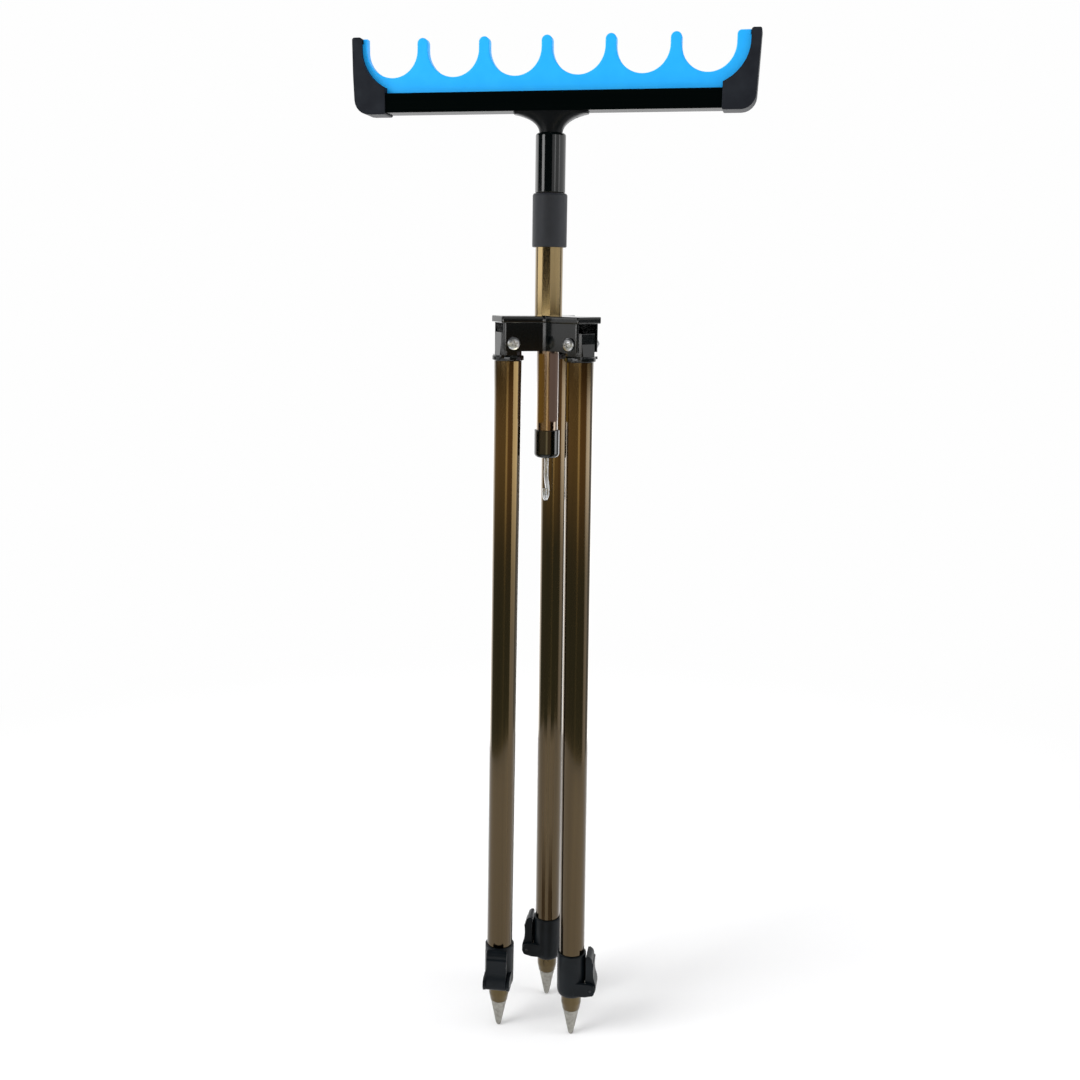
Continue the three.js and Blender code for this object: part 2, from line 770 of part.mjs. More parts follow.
// Lever clamp: a housing with two ears, a cam lever on a pin between them and a brake pad
const pinReach = 19.9;
const pinRise = 10.5;
const pinRadius = 1.5;
const leverWidth = 19.4;
const leverRise = 36;
const leverDepth = 5.4;
const leverWall = 2.2;
const windowFoot = pinRise - windowHeight / 2;
const camRadius = 5.3;
const camOffset = 0.1;
const earThickness = 3.3;
const earReach = 25;
const earFoot = 3.5;
const earHeight = 14;
const earShares = [
  [0.12, 0, 0],
  [0.6, 0, 0.05],
  [0.92, 0.14, 0.1],
  [1, 0.5, 0.1],
  [0.95, 0.86, 0.1],
  [0.75, 1, 0.08],
  [0.12, 1, 0],
];
const leverOuterShares = [
  [1, 0.02],
  [0.98, 0.09],
  [0.85, 0.19],
  [0.6, 0.33],
  [0.48, 0.5],
  [0.52, 0.66],
  [0.56, 0.75],
  [0.34, 0.79],
  [0.28, 0.86],
  [0.06, 0.94],
  [-0.4, 0.99],
];
const leverInnerShares = [
  [-0.8, 0.98],
  [-0.88, 0.93],
  [-0.88, 0.06],
];
const leverPocketShare = 0.82;

function housingGeometry() {
  const wide = [
    [0, 0],
    [housingFootRadius, 0],
    ...arcPoints(0, 0, 1, 0, Math.PI / 2).slice(1).map(([across, rise]) => [
      housingFootRadius + (housingRadius - housingFootRadius) * rise,
      housingTaper * (1 - across),
    ]),
    [housingRadius, clampHeight - housingEdge],
    [housingRadius - housingEdge, clampHeight],
    [0, clampHeight],
  ];
  let body = solid(turned(wide));
  const earShape = roundedShape(earShares.map(([reach, rise, rounding]) => [
    reach * earReach,
    earFoot + rise * earHeight,
    rounding * earReach,
  ]));
  const earMiddle = leverWidth / 2 + fitGap + earThickness / 2;
  for (const side of [-1, 1]) {
    const ear = upright(slab(earShape, earThickness)).translate(0, side * earMiddle, 0);
    body = body.add(solid(ear));
  }
  body = body.subtract(solid(rod(innerRadius + fitGap, -overrun, tubeSeat + overrun, tubeFacets)));
  body = body.subtract(solid(rod(legRadius + fitGap, tubeSeat, clampHeight + overrun, tubeFacets)));
  const window = block(0, housingRadius + overrun, -windowHalf, windowHalf,
    windowFoot, windowFoot + windowHeight);
  body = body.subtract(solid(window));
  const pinHalf = earMiddle + earThickness;
  const pinHole = rod(pinRadius + fitGap / 2, -pinHalf, pinHalf, pinFacets).rotateX(Math.PI / 2);
  return geometryOf(body.subtract(solid(pinHole.translate(pinReach, 0, pinRise))));
}

function shareVectors(shares) {
  return shares.map(([across, rise]) => new THREE.Vector2(across * leverDepth, rise * leverRise));
}

function leverGeometry() {
  const outer = shareVectors(leverOuterShares);
  const inner = shareVectors(leverInnerShares);
  const blade = new THREE.Shape();
  blade.moveTo(0, 0);
  blade.lineTo(outer[0].x, outer[0].y);
  blade.splineThru(outer.slice(1));
  blade.lineTo(inner[0].x, inner[0].y);
  blade.splineThru(inner.slice(1));
  blade.closePath();
  const body = solid(upright(slab(blade, leverWidth, 0, curveSteps / 2)));
  const cam = rod(camRadius, -leverWidth / 2, leverWidth / 2).rotateX(Math.PI / 2);
  const hole = rod(pinRadius + fitGap, -leverWidth, leverWidth, pinFacets).rotateX(Math.PI / 2);
  const pocketHalf = leverWidth / 2 - leverWall;
  const pocket = block(-leverDepth - overrun, 0, -pocketHalf, pocketHalf,
    camRadius + leverWall, leverPocketShare * leverRise);
  const whole = body.add(solid(cam.translate(-camOffset, 0, 0)));
  return geometryOf(whole.subtract(solid(hole)).subtract(solid(pocket)));
}

function padGeometry() {
  const face = pinReach - camOffset - camRadius - fitGap;
  const half = windowHalf - fitGap;
  const padTop = windowFoot + windowHeight - fitGap;
  const body = solid(block(innerRadius / 2, face, -half, half, windowFoot + fitGap, padTop));
  return geometryOf(body.subtract(solid(rod(innerRadius + fitGap, 0, clampHeight, tubeFacets))));
}

// Inner leg: the thin tube that slides out, with a guide bush on top and a spike below
const spikeLength = 29;
const spikeBase = 8.1;
const spikeEnd = 2.8;
const spikeFlat = 1.2;
const spikeNeck = 7;
const spikeSpigot = 19;
const swageLength = 8;
const swageRadius = 8.6;
const innerBushHeight = 10;
const innerBushBore = 5;
const legHeadroom = 18.7;
const innerBore = innerRadius - tubeWall;
const innerBushTop = pivotHeight - tubeDrop - plugLength - legHeadroom;
const innerTop = innerBushTop - innerBushHeight - fitGap;

function innerTubeGeometry() {
  const swageTop = spikeLength + swageLength;
  return turned([
    [swageRadius - tubeWall, spikeLength],
    [swageRadius, spikeLength],
    [innerRadius, swageTop],
    [innerRadius, innerTop],
    [innerBore, innerTop],
    [innerBore, swageTop],
    [swageRadius - tubeWall, spikeLength],
  ]);
}

function spikeGeometry() {
  const shoulder = spikeLength - fitGap;
  const neckTop = spikeLength + swageLength + fitGap;
  const spigot = innerBore - fitGap;
  return turned([
    [0, 0],
    [spikeFlat, 0],
    [(spikeEnd + spikeFlat) / 2 + fitGap, spikeFlat / 2],
    [spikeEnd, spikeEnd],
    [spikeBase, shoulder],
    [spikeNeck, shoulder],
    [spikeNeck, neckTop],
    [spigot, neckTop],
    [spigot, neckTop + spikeSpigot],
    [0, neckTop + spikeSpigot],
  ], bossFacets);
}

function innerBushGeometry() {
  const seat = innerTop + fitGap;
  return turned([
    [innerBushBore, innerTop - innerBushHeight],
    [innerBore - fitGap, innerTop - innerBushHeight],
    [innerBore - fitGap, seat],
    [legBore - fitGap, seat],
    [legBore - fitGap, innerBushTop],
    [innerBushBore, innerBushTop],
    [innerBushBore, innerTop - innerBushHeight],
  ]);
}

// One leg with its bolt: the side of the bolt's head and the turn of its clamp are as photographed
function addLeg(name, armAngle, clampTurn, headSide) {
  const arm = new THREE.Group();
  arm.rotation.z = armAngle;
  tripod.add(arm);
  const boltTurn = (-headSide * Math.PI) / 2;
  const bolt = addPiece(arm, `${name}_pivot_bolt`, boltGeometry().rotateX(boltTurn), brightSteel);
  bolt.position.set(pivotRadius, 0, pivotHeight);
  const nut = hexNut(boltNutFlats, boltNutHeight, boltRadius + fitGap / 2);
  nut.translate(0, 0, -boltSeat - boltNutHeight).rotateX(boltTurn);
  addPiece(arm, `${name}_pivot_nut`, nut, brightSteel).position.set(pivotRadius, 0, pivotHeight);

  const leg = new THREE.Group();
  leg.position.set(pivotRadius, 0, pivotHeight);
  leg.rotation.y = -legLean;
  arm.add(leg);
  addPiece(leg, `${name}_leg_fitting`, fittingGeometry(), glossBlack);

  const ground = new THREE.Group();
  ground.position.z = -pivotHeight;
  leg.add(ground);
  const tubeTop = pivotHeight - tubeDrop - fitGap;
  addPiece(ground, `${name}_outer_tube`, ring(legRadius, legBore, outerTubeFoot, tubeTop), bronzeAnodised);
  addPiece(ground, `${name}_inner_tube`, innerTubeGeometry(), bronzeAnodised);
  addPiece(ground, `${name}_inner_bush`, innerBushGeometry(), naturalPlastic);
  addPiece(ground, `${name}_spike`, spikeGeometry(), castZinc);

  const clamp = new THREE.Group();
  clamp.position.z = clampFoot;
  clamp.rotation.z = clampTurn;
  ground.add(clamp);
  addPiece(clamp, `${name}_clamp_housing`, housingGeometry(), clampBlack);
  addPiece(clamp, `${name}_brake_pad`, padGeometry(), naturalPlastic);
  addPiece(clamp, `${name}_clamp_lever`, leverGeometry(), clampBlack).position.set(pinReach, 0, pinRise);
  const pinHalf = leverWidth / 2 + fitGap + earThickness;
  const pin = rod(pinRadius, -pinHalf, pinHalf, pinFacets).rotateX(-Math.PI / 2);
  addPiece(clamp, `${name}_lever_pin`, pin, darkSteel).position.set(pinReach, 0, pinRise);
}

const [backArm, leftArm, rightArm] = armAngles;
const backClampTurn = THREE.MathUtils.degToRad(93);
const leftClampTurn = THREE.MathUtils.degToRad(65);
const rightClampTurn = THREE.MathUtils.degToRad(33);
addLeg('back', backArm, backClampTurn, 1);
addLeg('left', leftArm, leftClampTurn, 1);
addLeg('right', rightArm, rightClampTurn, -1);

// The origin is on the ground under the middle of the whole tripod
tripod.updateMatrixWorld(true);
const extent = new THREE.Box3().setFromObject(tripod, true);
const middle = extent.getCenter(new THREE.Vector3());
tripod.position.set(-middle.x, -middle.y, -extent.min.z);

export default tripod;
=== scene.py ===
import json
import math
import bmesh
import bpy
from mathutils import Matrix, Vector


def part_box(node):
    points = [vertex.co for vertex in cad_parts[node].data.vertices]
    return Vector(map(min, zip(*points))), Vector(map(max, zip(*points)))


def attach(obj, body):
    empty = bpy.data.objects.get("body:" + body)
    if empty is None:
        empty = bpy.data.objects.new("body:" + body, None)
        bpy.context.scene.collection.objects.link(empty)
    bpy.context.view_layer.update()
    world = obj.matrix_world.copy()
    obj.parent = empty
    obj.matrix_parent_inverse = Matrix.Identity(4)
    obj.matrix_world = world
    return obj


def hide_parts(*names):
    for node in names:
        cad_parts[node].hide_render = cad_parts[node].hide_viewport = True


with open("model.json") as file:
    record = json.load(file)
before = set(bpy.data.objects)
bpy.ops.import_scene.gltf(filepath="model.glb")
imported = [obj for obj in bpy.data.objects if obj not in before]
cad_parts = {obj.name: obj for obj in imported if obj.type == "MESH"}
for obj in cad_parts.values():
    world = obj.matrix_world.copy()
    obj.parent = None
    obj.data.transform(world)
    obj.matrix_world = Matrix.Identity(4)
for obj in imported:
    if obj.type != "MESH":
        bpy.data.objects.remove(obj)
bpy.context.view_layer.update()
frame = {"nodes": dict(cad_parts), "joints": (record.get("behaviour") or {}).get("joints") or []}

# Floor: a wide sheet of matt white paper, which takes the tripod's soft shadow.
# Away from the tripod the paper runs out into the white of the studio wall.
MM = 0.001


def linear(hex_colour):
    """Linear RGBA of an sRGB hex colour"""
    channels = [int(hex_colour[i:i + 2], 16) / 255 for i in (1, 3, 5)]
    return [c / 12.92 if c <= 0.04045 else ((c + 0.055) / 1.055) ** 2.4 for c in channels] + [1.0]


def add_node(tree, kind, sockets=None, **settings):
    """Adds a node, sets its settings, and sets or links its sockets"""
    node = tree.nodes.new(kind)
    for name, value in settings.items():
        setattr(node, name, value)
    for name, value in (sockets or {}).items():
        if isinstance(value, bpy.types.NodeSocket):
            tree.links.new(value, node.inputs[name])
        else:
            node.inputs[name].default_value = value
    return node


def new_finish(name):
    """An empty material and its node tree"""
    material = bpy.data.materials.new(name)
    material.use_nodes = True
    material.node_tree.nodes.clear()
    return material, material.node_tree


def set_stops(ramp, stops):
    """Gives a colour ramp its stops of (position, hex colour)"""
    held = ramp.color_ramp.elements
    while len(held) < len(stops):
        held.new(0.5)
    for stop, (position, colour) in zip(held, stops):
        stop.position = position
        stop.color = linear(colour)


def add_object(name, mesh):
    thing = bpy.data.objects.new(name, mesh)
    bpy.context.scene.collection.objects.link(thing)
    return thing


def paper_finish():
    # Matt paper: a diffuse white that scatters evenly, and beyond the shadow the plain white wall.
    # In reflections the sheet ends 0.8 m from the tripod, as a cut sheet of paper does.
    material, tree = new_finish("matt_white_paper")
    place = add_node(tree, "ShaderNodeNewGeometry")
    reach = add_node(tree, "ShaderNodeVectorMath", {0: place.outputs["Position"]}, operation="LENGTH")
    fade = add_node(tree, "ShaderNodeMapRange", {
        "Value": reach.outputs["Value"], "From Min": 0.45, "From Max": 1.3,
    }, interpolation_type="SMOOTHSTEP")
    fibre = add_node(tree, "ShaderNodeTexNoise", {"Vector": place.outputs["Position"], "Scale": 900, "Detail": 2})
    tint = add_node(tree, "ShaderNodeValToRGB", {"Fac": fibre.outputs["Fac"]})
    set_stops(tint, [(0, "#f8f8f9"), (1, "#fdfdfd")])
    paper = add_node(tree, "ShaderNodeBsdfDiffuse", {"Color": tint.outputs["Color"], "Roughness": 1.0})
    wall = add_node(tree, "ShaderNodeEmission", {"Color": linear("#fefefe"), "Strength": 1.0})
    sheet = add_node(tree, "ShaderNodeMixShader", {0: fade.outputs["Result"], 1: paper.outputs[0], 2: wall.outputs[0]})
    rays = add_node(tree, "ShaderNodeLightPath")
    edge = add_node(tree, "ShaderNodeMapRange", {
        "Value": reach.outputs["Value"], "From Min": 0.785, "From Max": 0.8,
    }, interpolation_type="SMOOTHSTEP")
    past = add_node(tree, "ShaderNodeMath", {0: rays.outputs["Is Glossy Ray"], 1: edge.outputs["Result"]},
                    operation="MULTIPLY")
    gone = add_node(tree, "ShaderNodeBsdfTransparent")
    mix = add_node(tree, "ShaderNodeMixShader", {0: past.outputs[0], 1: sheet.outputs[0], 2: gone.outputs[0]})
    add_node(tree, "ShaderNodeOutputMaterial", {"Surface": mix.outputs[0]})
    return material


floor_mesh = bpy.data.meshes.new("floor")
floor_reach = 14.0
floor_mesh.from_pydata([(x * floor_reach, y * floor_reach, 0) for x, y in ((-1, -1), (1, -1), (1, 1), (-1, 1))],
                       [], [(0, 1, 2, 3)])
floor_mesh.materials.append(paper_finish())
floor = add_object("floor", floor_mesh)

# Studio light: a white room lit from all sides, a soft lamp at the front left for the shadow and a small one right.
# What the gloss shows is laid out round the tripod: white paper behind, dark studio in front, pale strips between.
photo_azimuth = math.radians(10.92)
world = bpy.data.worlds.new("studio")
world.use_nodes = True
bpy.context.scene.world = world
room = world.node_tree
room.nodes.clear()
sight = add_node(room, "ShaderNodeTexCoord").outputs["Generated"]
ahead = add_node(room, "ShaderNodeVectorMath", {0: sight, 1: (math.sin(photo_azimuth), -math.cos(photo_azimuth), 0)},
                 operation="DOT_PRODUCT")
right = add_node(room, "ShaderNodeVectorMath", {0: sight, 1: (math.cos(photo_azimuth), math.sin(photo_azimuth), 0)},
                 operation="DOT_PRODUCT")
bearing = add_node(room, "ShaderNodeMath", {0: right.outputs["Value"], 1: ahead.outputs["Value"]}, operation="ARCTAN2")
share = add_node(room, "ShaderNodeMapRange", {
    "Value": bearing.outputs[0], "From Min": -math.pi, "From Max": math.pi,
})


def studio_round(levels):
    """What the gloss shows at bearings in degrees, 0 towards the photographer and 90 to the right"""
    ramp = add_node(room, "ShaderNodeValToRGB", {"Fac": share.outputs["Result"]})
    set_stops(ramp, [(degrees / 360 + 0.5, colour) for degrees, colour in levels])
    return ramp.outputs["Color"]


upper = studio_round([(-180, "#7c7c7c"), (-122, "#7c7c7c"), (-116, "#0c0d0e"), (-60, "#0c0d0e"), (60, "#0c0d0e"),
                      (112, "#0c0d0e"), (125, "#7c7c7c"), (180, "#7c7c7c")])
lower = studio_round([(-180, "#b4b4b4"), (-122, "#b4b4b4"), (-106, "#706044"), (-10, "#706042"), (-4, "#c4b081"),
                      (5, "#c4b081"), (11, "#70593c"), (60, "#70593c"), (68, "#ececec"), (98, "#ececec"),
                      (108, "#555555"), (132, "#555555"), (142, "#b4b4b4"), (180, "#b4b4b4")])
ground = studio_round([(-180, "#b4b4b4"), (-124, "#b4b4b4"), (-108, "#373a33"), (-6, "#373a33"), (0, "#4c4c40"),
                       (6, "#373a33"), (66, "#373a33"), (76, "#848484"), (98, "#848484"), (106, "#484a48"),
                       (132, "#555555"), (142, "#b4b4b4"), (180, "#b4b4b4")])
height = add_node(room, "ShaderNodeSeparateXYZ", {"Vector": sight})
below = add_node(room, "ShaderNodeMapRange", {
    "Value": height.outputs["Z"], "From Min": -0.06, "From Max": -0.085,
})
deep = add_node(room, "ShaderNodeMapRange", {
    "Value": height.outputs["Z"], "From Min": -0.13, "From Max": -0.21,
})
shown = add_node(room, "ShaderNodeMixRGB", {"Fac": below.outputs["Result"], "Color1": upper, "Color2": lower})
shown = add_node(room, "ShaderNodeMixRGB", {
    "Fac": deep.outputs["Result"], "Color1": shown.outputs[0], "Color2": ground,
})
gloss_strength = 5.0
white = add_node(room, "ShaderNodeBackground", {"Color": linear("#fefefe"), "Strength": 1.0})
soft = add_node(room, "ShaderNodeBackground", {"Color": linear("#fefefe"), "Strength": 0.8})
gloss = add_node(room, "ShaderNodeBackground", {"Color": shown.outputs[0], "Strength": gloss_strength})
ray = add_node(room, "ShaderNodeLightPath")
plain = add_node(room, "ShaderNodeMixShader", {0: ray.outputs["Is Camera Ray"], 1: soft.outputs[0],
                                               2: white.outputs[0]})
glossy = add_node(room, "ShaderNodeMixShader", {0: ray.outputs["Is Glossy Ray"], 1: plain.outputs[0],
                                                2: gloss.outputs[0]})
clear = add_node(room, "ShaderNodeMixShader", {0: ray.outputs["Is Transmission Ray"], 1: glossy.outputs[0],
                                               2: white.outputs[0]})
add_node(room, "ShaderNodeOutputWorld", {"Surface": clear.outputs[0]})


def add_lamp(name, place, aim, size, power):
    lamp = bpy.data.lights.new(name, "AREA")
    lamp.shape = "RECTANGLE"
    lamp.size, lamp.size_y = size
    lamp.energy = power
    holder = add_object(name, lamp)
    holder.location = place
    holder.rotation_mode = "QUATERNION"
    holder.rotation_quaternion = (Vector(aim) - Vector(place)).to_track_quat("-Z", "Y")
    holder.visible_glossy = False


def hang(name, mesh, material):
    """Stages a lit card that only the gloss of the tripod sees"""
    mesh.materials.append(material)
    card = add_object(name, mesh)
    card.visible_camera = card.visible_diffuse = card.visible_shadow = False
    card.visible_transmission = card.visible_volume_scatter = False


def add_card(name, start, end, low, high, level):
    """A curved card 1.3 m away between two bearings in degrees and two heights in metres"""
    reach = 1.3
    mesh = bpy.data.meshes.new(name)
    steps = 12
    corners = []
    for k in range(steps + 1):
        turn = math.radians(start + (end - start) * k / steps) + photo_azimuth
        corners += [(reach * math.sin(turn), -reach * math.cos(turn), z) for z in (low, high)]
    mesh.from_pydata(corners, [], [(2 * k, 2 * k + 2, 2 * k + 3, 2 * k + 1) for k in range(steps)])
    material, tree = new_finish(name + "_cloth")
    glow = add_node(tree, "ShaderNodeEmission", {"Color": linear("#fefefe"), "Strength": level})
    add_node(tree, "ShaderNodeOutputMaterial", {"Surface": glow.outputs[0]})
    hang(name, mesh, material)


def add_slip(name, start, end, low, high, levels):
    """A narrow card between the legs, lit on the face to the right of start to end, in mm; its colours by height are
    painted reflections
    """
    mesh = bpy.data.meshes.new(name)
    corners = [(*start, low), (*end, low), (*end, high), (*start, high)]
    mesh.from_pydata([tuple(value * MM for value in corner) for corner in corners], [], [(0, 1, 2, 3)])
    material, tree = new_finish(name + "_cloth")
    place = add_node(tree, "ShaderNodeNewGeometry")
    rise = add_node(tree, "ShaderNodeSeparateXYZ", {"Vector": place.outputs["Position"]})
    tint = add_node(tree, "ShaderNodeValToRGB", {"Fac": rise.outputs["Z"]})
    set_stops(tint, levels)
    glow = add_node(tree, "ShaderNodeEmission", {"Color": tint.outputs["Color"], "Strength": gloss_strength})
    gone = add_node(tree, "ShaderNodeBsdfTransparent")
    face = add_node(tree, "ShaderNodeMixShader", {
        0: place.outputs["Backfacing"], 1: glow.outputs[0], 2: gone.outputs[0],
    })
    add_node(tree, "ShaderNodeOutputMaterial", {"Surface": face.outputs[0]})
    hang(name, mesh, material)


add_lamp("key_lamp", (-1.9, -1.5, 2.1), (0, 0, 0.45), (1.7, 1.7), 40)
add_lamp("side_lamp", (2.3, 0.1, 1.1), (0, 0, 0.9), (1.2, 1.2), 14)
add_card("left_card", -108, -58, 0.7, 0.88, 2.2)
add_card("right_card", 9, 106, 0.7, 0.86, 1.0)
add_card("hub_card", -100, -62, 0.61, 0.69, 1.0)
add_card("crook_card", -56, 12, 0.63, 0.67, 5.0)
add_card("hub_shade", 14, 66, 0.6, 0.69, 0.02)
for start, end, level in ((-144, -106, 2.2), (-67, -47, 5), (12, 31, 0.8), (31, 39, 2.6), (39, 66, 0.8), (66, 74, 2.6),
                          (74, 140, 1.2)):
    add_card("strip_card", start, end, 0.88, 1.2, level)
# Slips inside the tripod, seen only in its gloss: their colours by height are painted reflections on the legs and mast
add_slip("leg_slip", (-8, -25), (-8, -43), 60, 668,
         [(0.27, "#7c7c7c"), (0.4, "#858585"), (0.47, "#9c9a90"), (0.58, "#e8e0c4")])
add_slip("mast_slip_left", (-7, -30), (-7, 15), 612, 675, [(0.5, "#5e4c22"), (0.7, "#5e4c22")])
add_slip("mast_slip_right", (18, 15), (18, -36), 612, 675, [(0.5, "#595253"), (0.7, "#595253")])
for name, start, end in (("back_slip_left", -11, -44), ("back_slip_right", 44, 11)):
    add_slip(name, (start, -8), (end, -8), 20, 600, [
        (0.1, "#4a443c"), (0.18, "#7c7c7c"), (0.27, "#7c7c7c"), (0.295, "#373a33"), (0.48, "#373a33"),
        (0.575, "#706042"),
    ])

# Camera: stands to the right of the tripod's front, a little above its hub's height, and looks slightly down
camera_distance = 1123.3 * MM
camera_height = 735.2 * MM
camera_turn, camera_tilt, camera_roll = (math.radians(angle) for angle in (0.252, 90 - 11.80, 0.760))
column_y = frame["joints"][0]["pos_m"][1]
camera_data = bpy.data.cameras.new("camera")
camera_data.sensor_width = 36
camera_data.lens = 40.48
camera_data.clip_end = 100
camera = add_object("camera", camera_data)
camera_place = Vector((camera_distance * math.sin(photo_azimuth),
                       column_y - camera_distance * math.cos(photo_azimuth), camera_height))
camera.matrix_world = (Matrix.Translation(camera_place)
                       @ Matrix.Rotation(photo_azimuth + camera_turn, 4, "Z")
                       @ Matrix.Rotation(camera_tilt, 4, "X")
                       @ Matrix.Rotation(camera_roll, 4, "Z"))
bpy.context.scene.camera = camera
bpy.context.scene.view_settings.view_transform = "Standard"

# Hub: one glossy black ABS moulding with three hollow arms under a thin plate, open at the arms' ends.
# Two ribs under the plate of each arm stop the leg when it is folded out.
joints = {joint["name"]: joint for joint in frame["joints"]}
column_place = Matrix.Translation((0, column_y, 0))
leg_names = ("back", "left", "right")


def span(node):
    """Lowest and highest point of a solid of the frame, in millimetres"""
    low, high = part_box(node)
    return low.z / MM, high.z / MM


def offset(x, y, z):
    """A shift in millimetres"""
    return Matrix.Translation(Vector((x, y, z)) * MM)


def leg_place(name):
    """The leg's own axes, with the origin on its pivot: Z up the tube and Y along the pivot bolt"""
    pivot = Vector(joints[name + "_leg_fold"]["pos_m"])
    up = -Vector(joints[name + "_leg_extend"]["axis"])
    across = -Vector(joints[name + "_leg_fold"]["axis"])
    out = across.cross(up)
    return Matrix.Translation(pivot) @ Matrix((out, across, up)).transposed().to_4x4()


def rounded(corners, steps=4):
    """Points of a closed outline whose corners are (x, y, rounding)"""
    points = []
    for i, (x, y, rounding) in enumerate(corners):
        corner = Vector((x, y))
        back = (Vector(corners[i - 1][:2]) - corner).normalized()
        ahead = (Vector(corners[(i + 1) % len(corners)][:2]) - corner).normalized()
        if rounding == 0:
            points.append((x, y))
            continue
        half = back.angle(ahead) / 2
        centre = corner + (back + ahead).normalized() * rounding / math.sin(half)
        start = corner + back * rounding / math.tan(half) - centre
        end = corner + ahead * rounding / math.tan(half) - centre
        for k in range(steps + 1):
            points.append(tuple(centre + start.slerp(end, k / steps).normalized() * rounding))
    return points


def lathe(profile, steps=96):
    """Turns a closed profile of (radius, height) about Z"""
    body = bmesh.new()
    rings = []
    for radius, height in profile:
        count = steps if radius > 1e-6 else 1
        rings.append([body.verts.new((radius * math.cos(2 * math.pi * i / steps),
                                      radius * math.sin(2 * math.pi * i / steps), height))
                      for i in range(count)])
    for low, high in zip(rings, rings[1:] + rings[:1]):
        for i in range(steps):
            j = (i + 1) % steps
            corners = [low[i % len(low)], low[j % len(low)], high[j % len(high)], high[i % len(high)]]
            corners = list(dict.fromkeys(corners))
            if len(corners) > 2:
                body.faces.new(corners)
    bmesh.ops.recalc_face_normals(body, faces=body.faces)
    return body


def plate(outline, thickness, edge=0.0, steps=3):
    """A plate of a counter-clockwise outline, centred on its thickness, with rounded edges if asked"""
    body = bmesh.new()
    points = [Vector(p) for p in outline]
    lean = []
    for i, point in enumerate(points):
        before = (point - points[i - 1]).normalized()
        after = (points[(i + 1) % len(points)] - point).normalized()
        sides = [Vector((d.y, -d.x)) for d in (before, after)]
        lean.append((sides[0] + sides[1]) / max(0.5, 1 + sides[0].dot(sides[1])))
    turns = [math.pi / 2 * k / steps for k in range(steps + 1)] if edge else [math.pi / 2]
    levels = [(edge * (1 - math.sin(t)), edge * (1 - math.cos(t)) - thickness / 2) for t in turns]
    levels += [(inset, -height) for inset, height in reversed(levels)]
    rings = [[body.verts.new((*(p - away * inset), height)) for p, away in zip(points, lean)]
             for inset, height in levels]
    for low, high in zip(rings, rings[1:]):
        for i in range(len(points)):
            j = (i + 1) % len(points)
            body.faces.new((low[i], low[j], high[j], high[i]))
    body.faces.new(reversed(rings[0]))
    body.faces.new(rings[-1])
    bmesh.ops.recalc_face_normals(body, faces=body.faces)
    return body


def box(low, high):
    body = bmesh.new()
    size = Vector(high) - Vector(low)
    bmesh.ops.create_cube(body, size=1, matrix=Matrix.Translation((Vector(low) + Vector(high)) / 2)
                          @ Matrix.Diagonal((*size, 1)))
    return body


def moved(body, *places):
    for place in places:
        body.transform(place)
    return body


def turned_to(axis, degrees):
    return Matrix.Rotation(math.radians(degrees), 4, axis)


def bolt_core(radius, steps=32):
    """The core of a hole along Y, 40 mm long"""
    return moved(lathe([(0, -20), (radius, -20), (radius, 20), (0, 20)], steps), turned_to("X", 90))


def as_mesh(body, name="shape"):
    mesh = bpy.data.meshes.new(name)
    body.to_mesh(mesh)
    body.free()
    return mesh


def carved(base, joins=(), cuts=(), soften=0.0):
    """Joins bodies to a base, cuts others from it, and softens the sharp edges that are left"""
    shell = add_object("shell", as_mesh(base))
    tools = []
    for operation, bodies in (("UNION", joins), ("DIFFERENCE", cuts)):
        for body in bodies:
            tools.append(add_object("tool", as_mesh(body)))
            step = shell.modifiers.new("cut", "BOOLEAN")
            step.operation, step.object, step.solver = operation, tools[-1], "EXACT"
    if soften:
        edge = shell.modifiers.new("edge", "BEVEL")
        edge.width, edge.segments, edge.limit_method = soften, 2, "ANGLE"
        edge.angle_limit = math.radians(40)
    depsgraph = bpy.context.evaluated_depsgraph_get()
    result = bmesh.new()
    result.from_mesh(bpy.data.meshes.new_from_object(shell.evaluated_get(depsgraph)))
    for thing in [shell, *tools]:
        bpy.data.objects.remove(thing)
    return result


def add_piece(name, body, place, finish, rides, nodes=(), crease=32):
    """Puts a body modelled in millimetres in its place and fastens it to the frame"""
    body.transform(place @ Matrix.Scale(MM, 4))
    mesh = as_mesh(body, name)
    mesh.materials.append(finish)
    for face in mesh.polygons:
        face.use_smooth = True
        face.material_index = 0
    mesh.set_sharp_from_angle(angle=math.radians(crease))
    piece = add_object(name, mesh)
    flats = piece.modifiers.new("even_flats", "WEIGHTED_NORMAL")
    flats.keep_sharp = True
    flats.weight = 80
    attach(piece, rides)
    if nodes:
        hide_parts(*nodes)


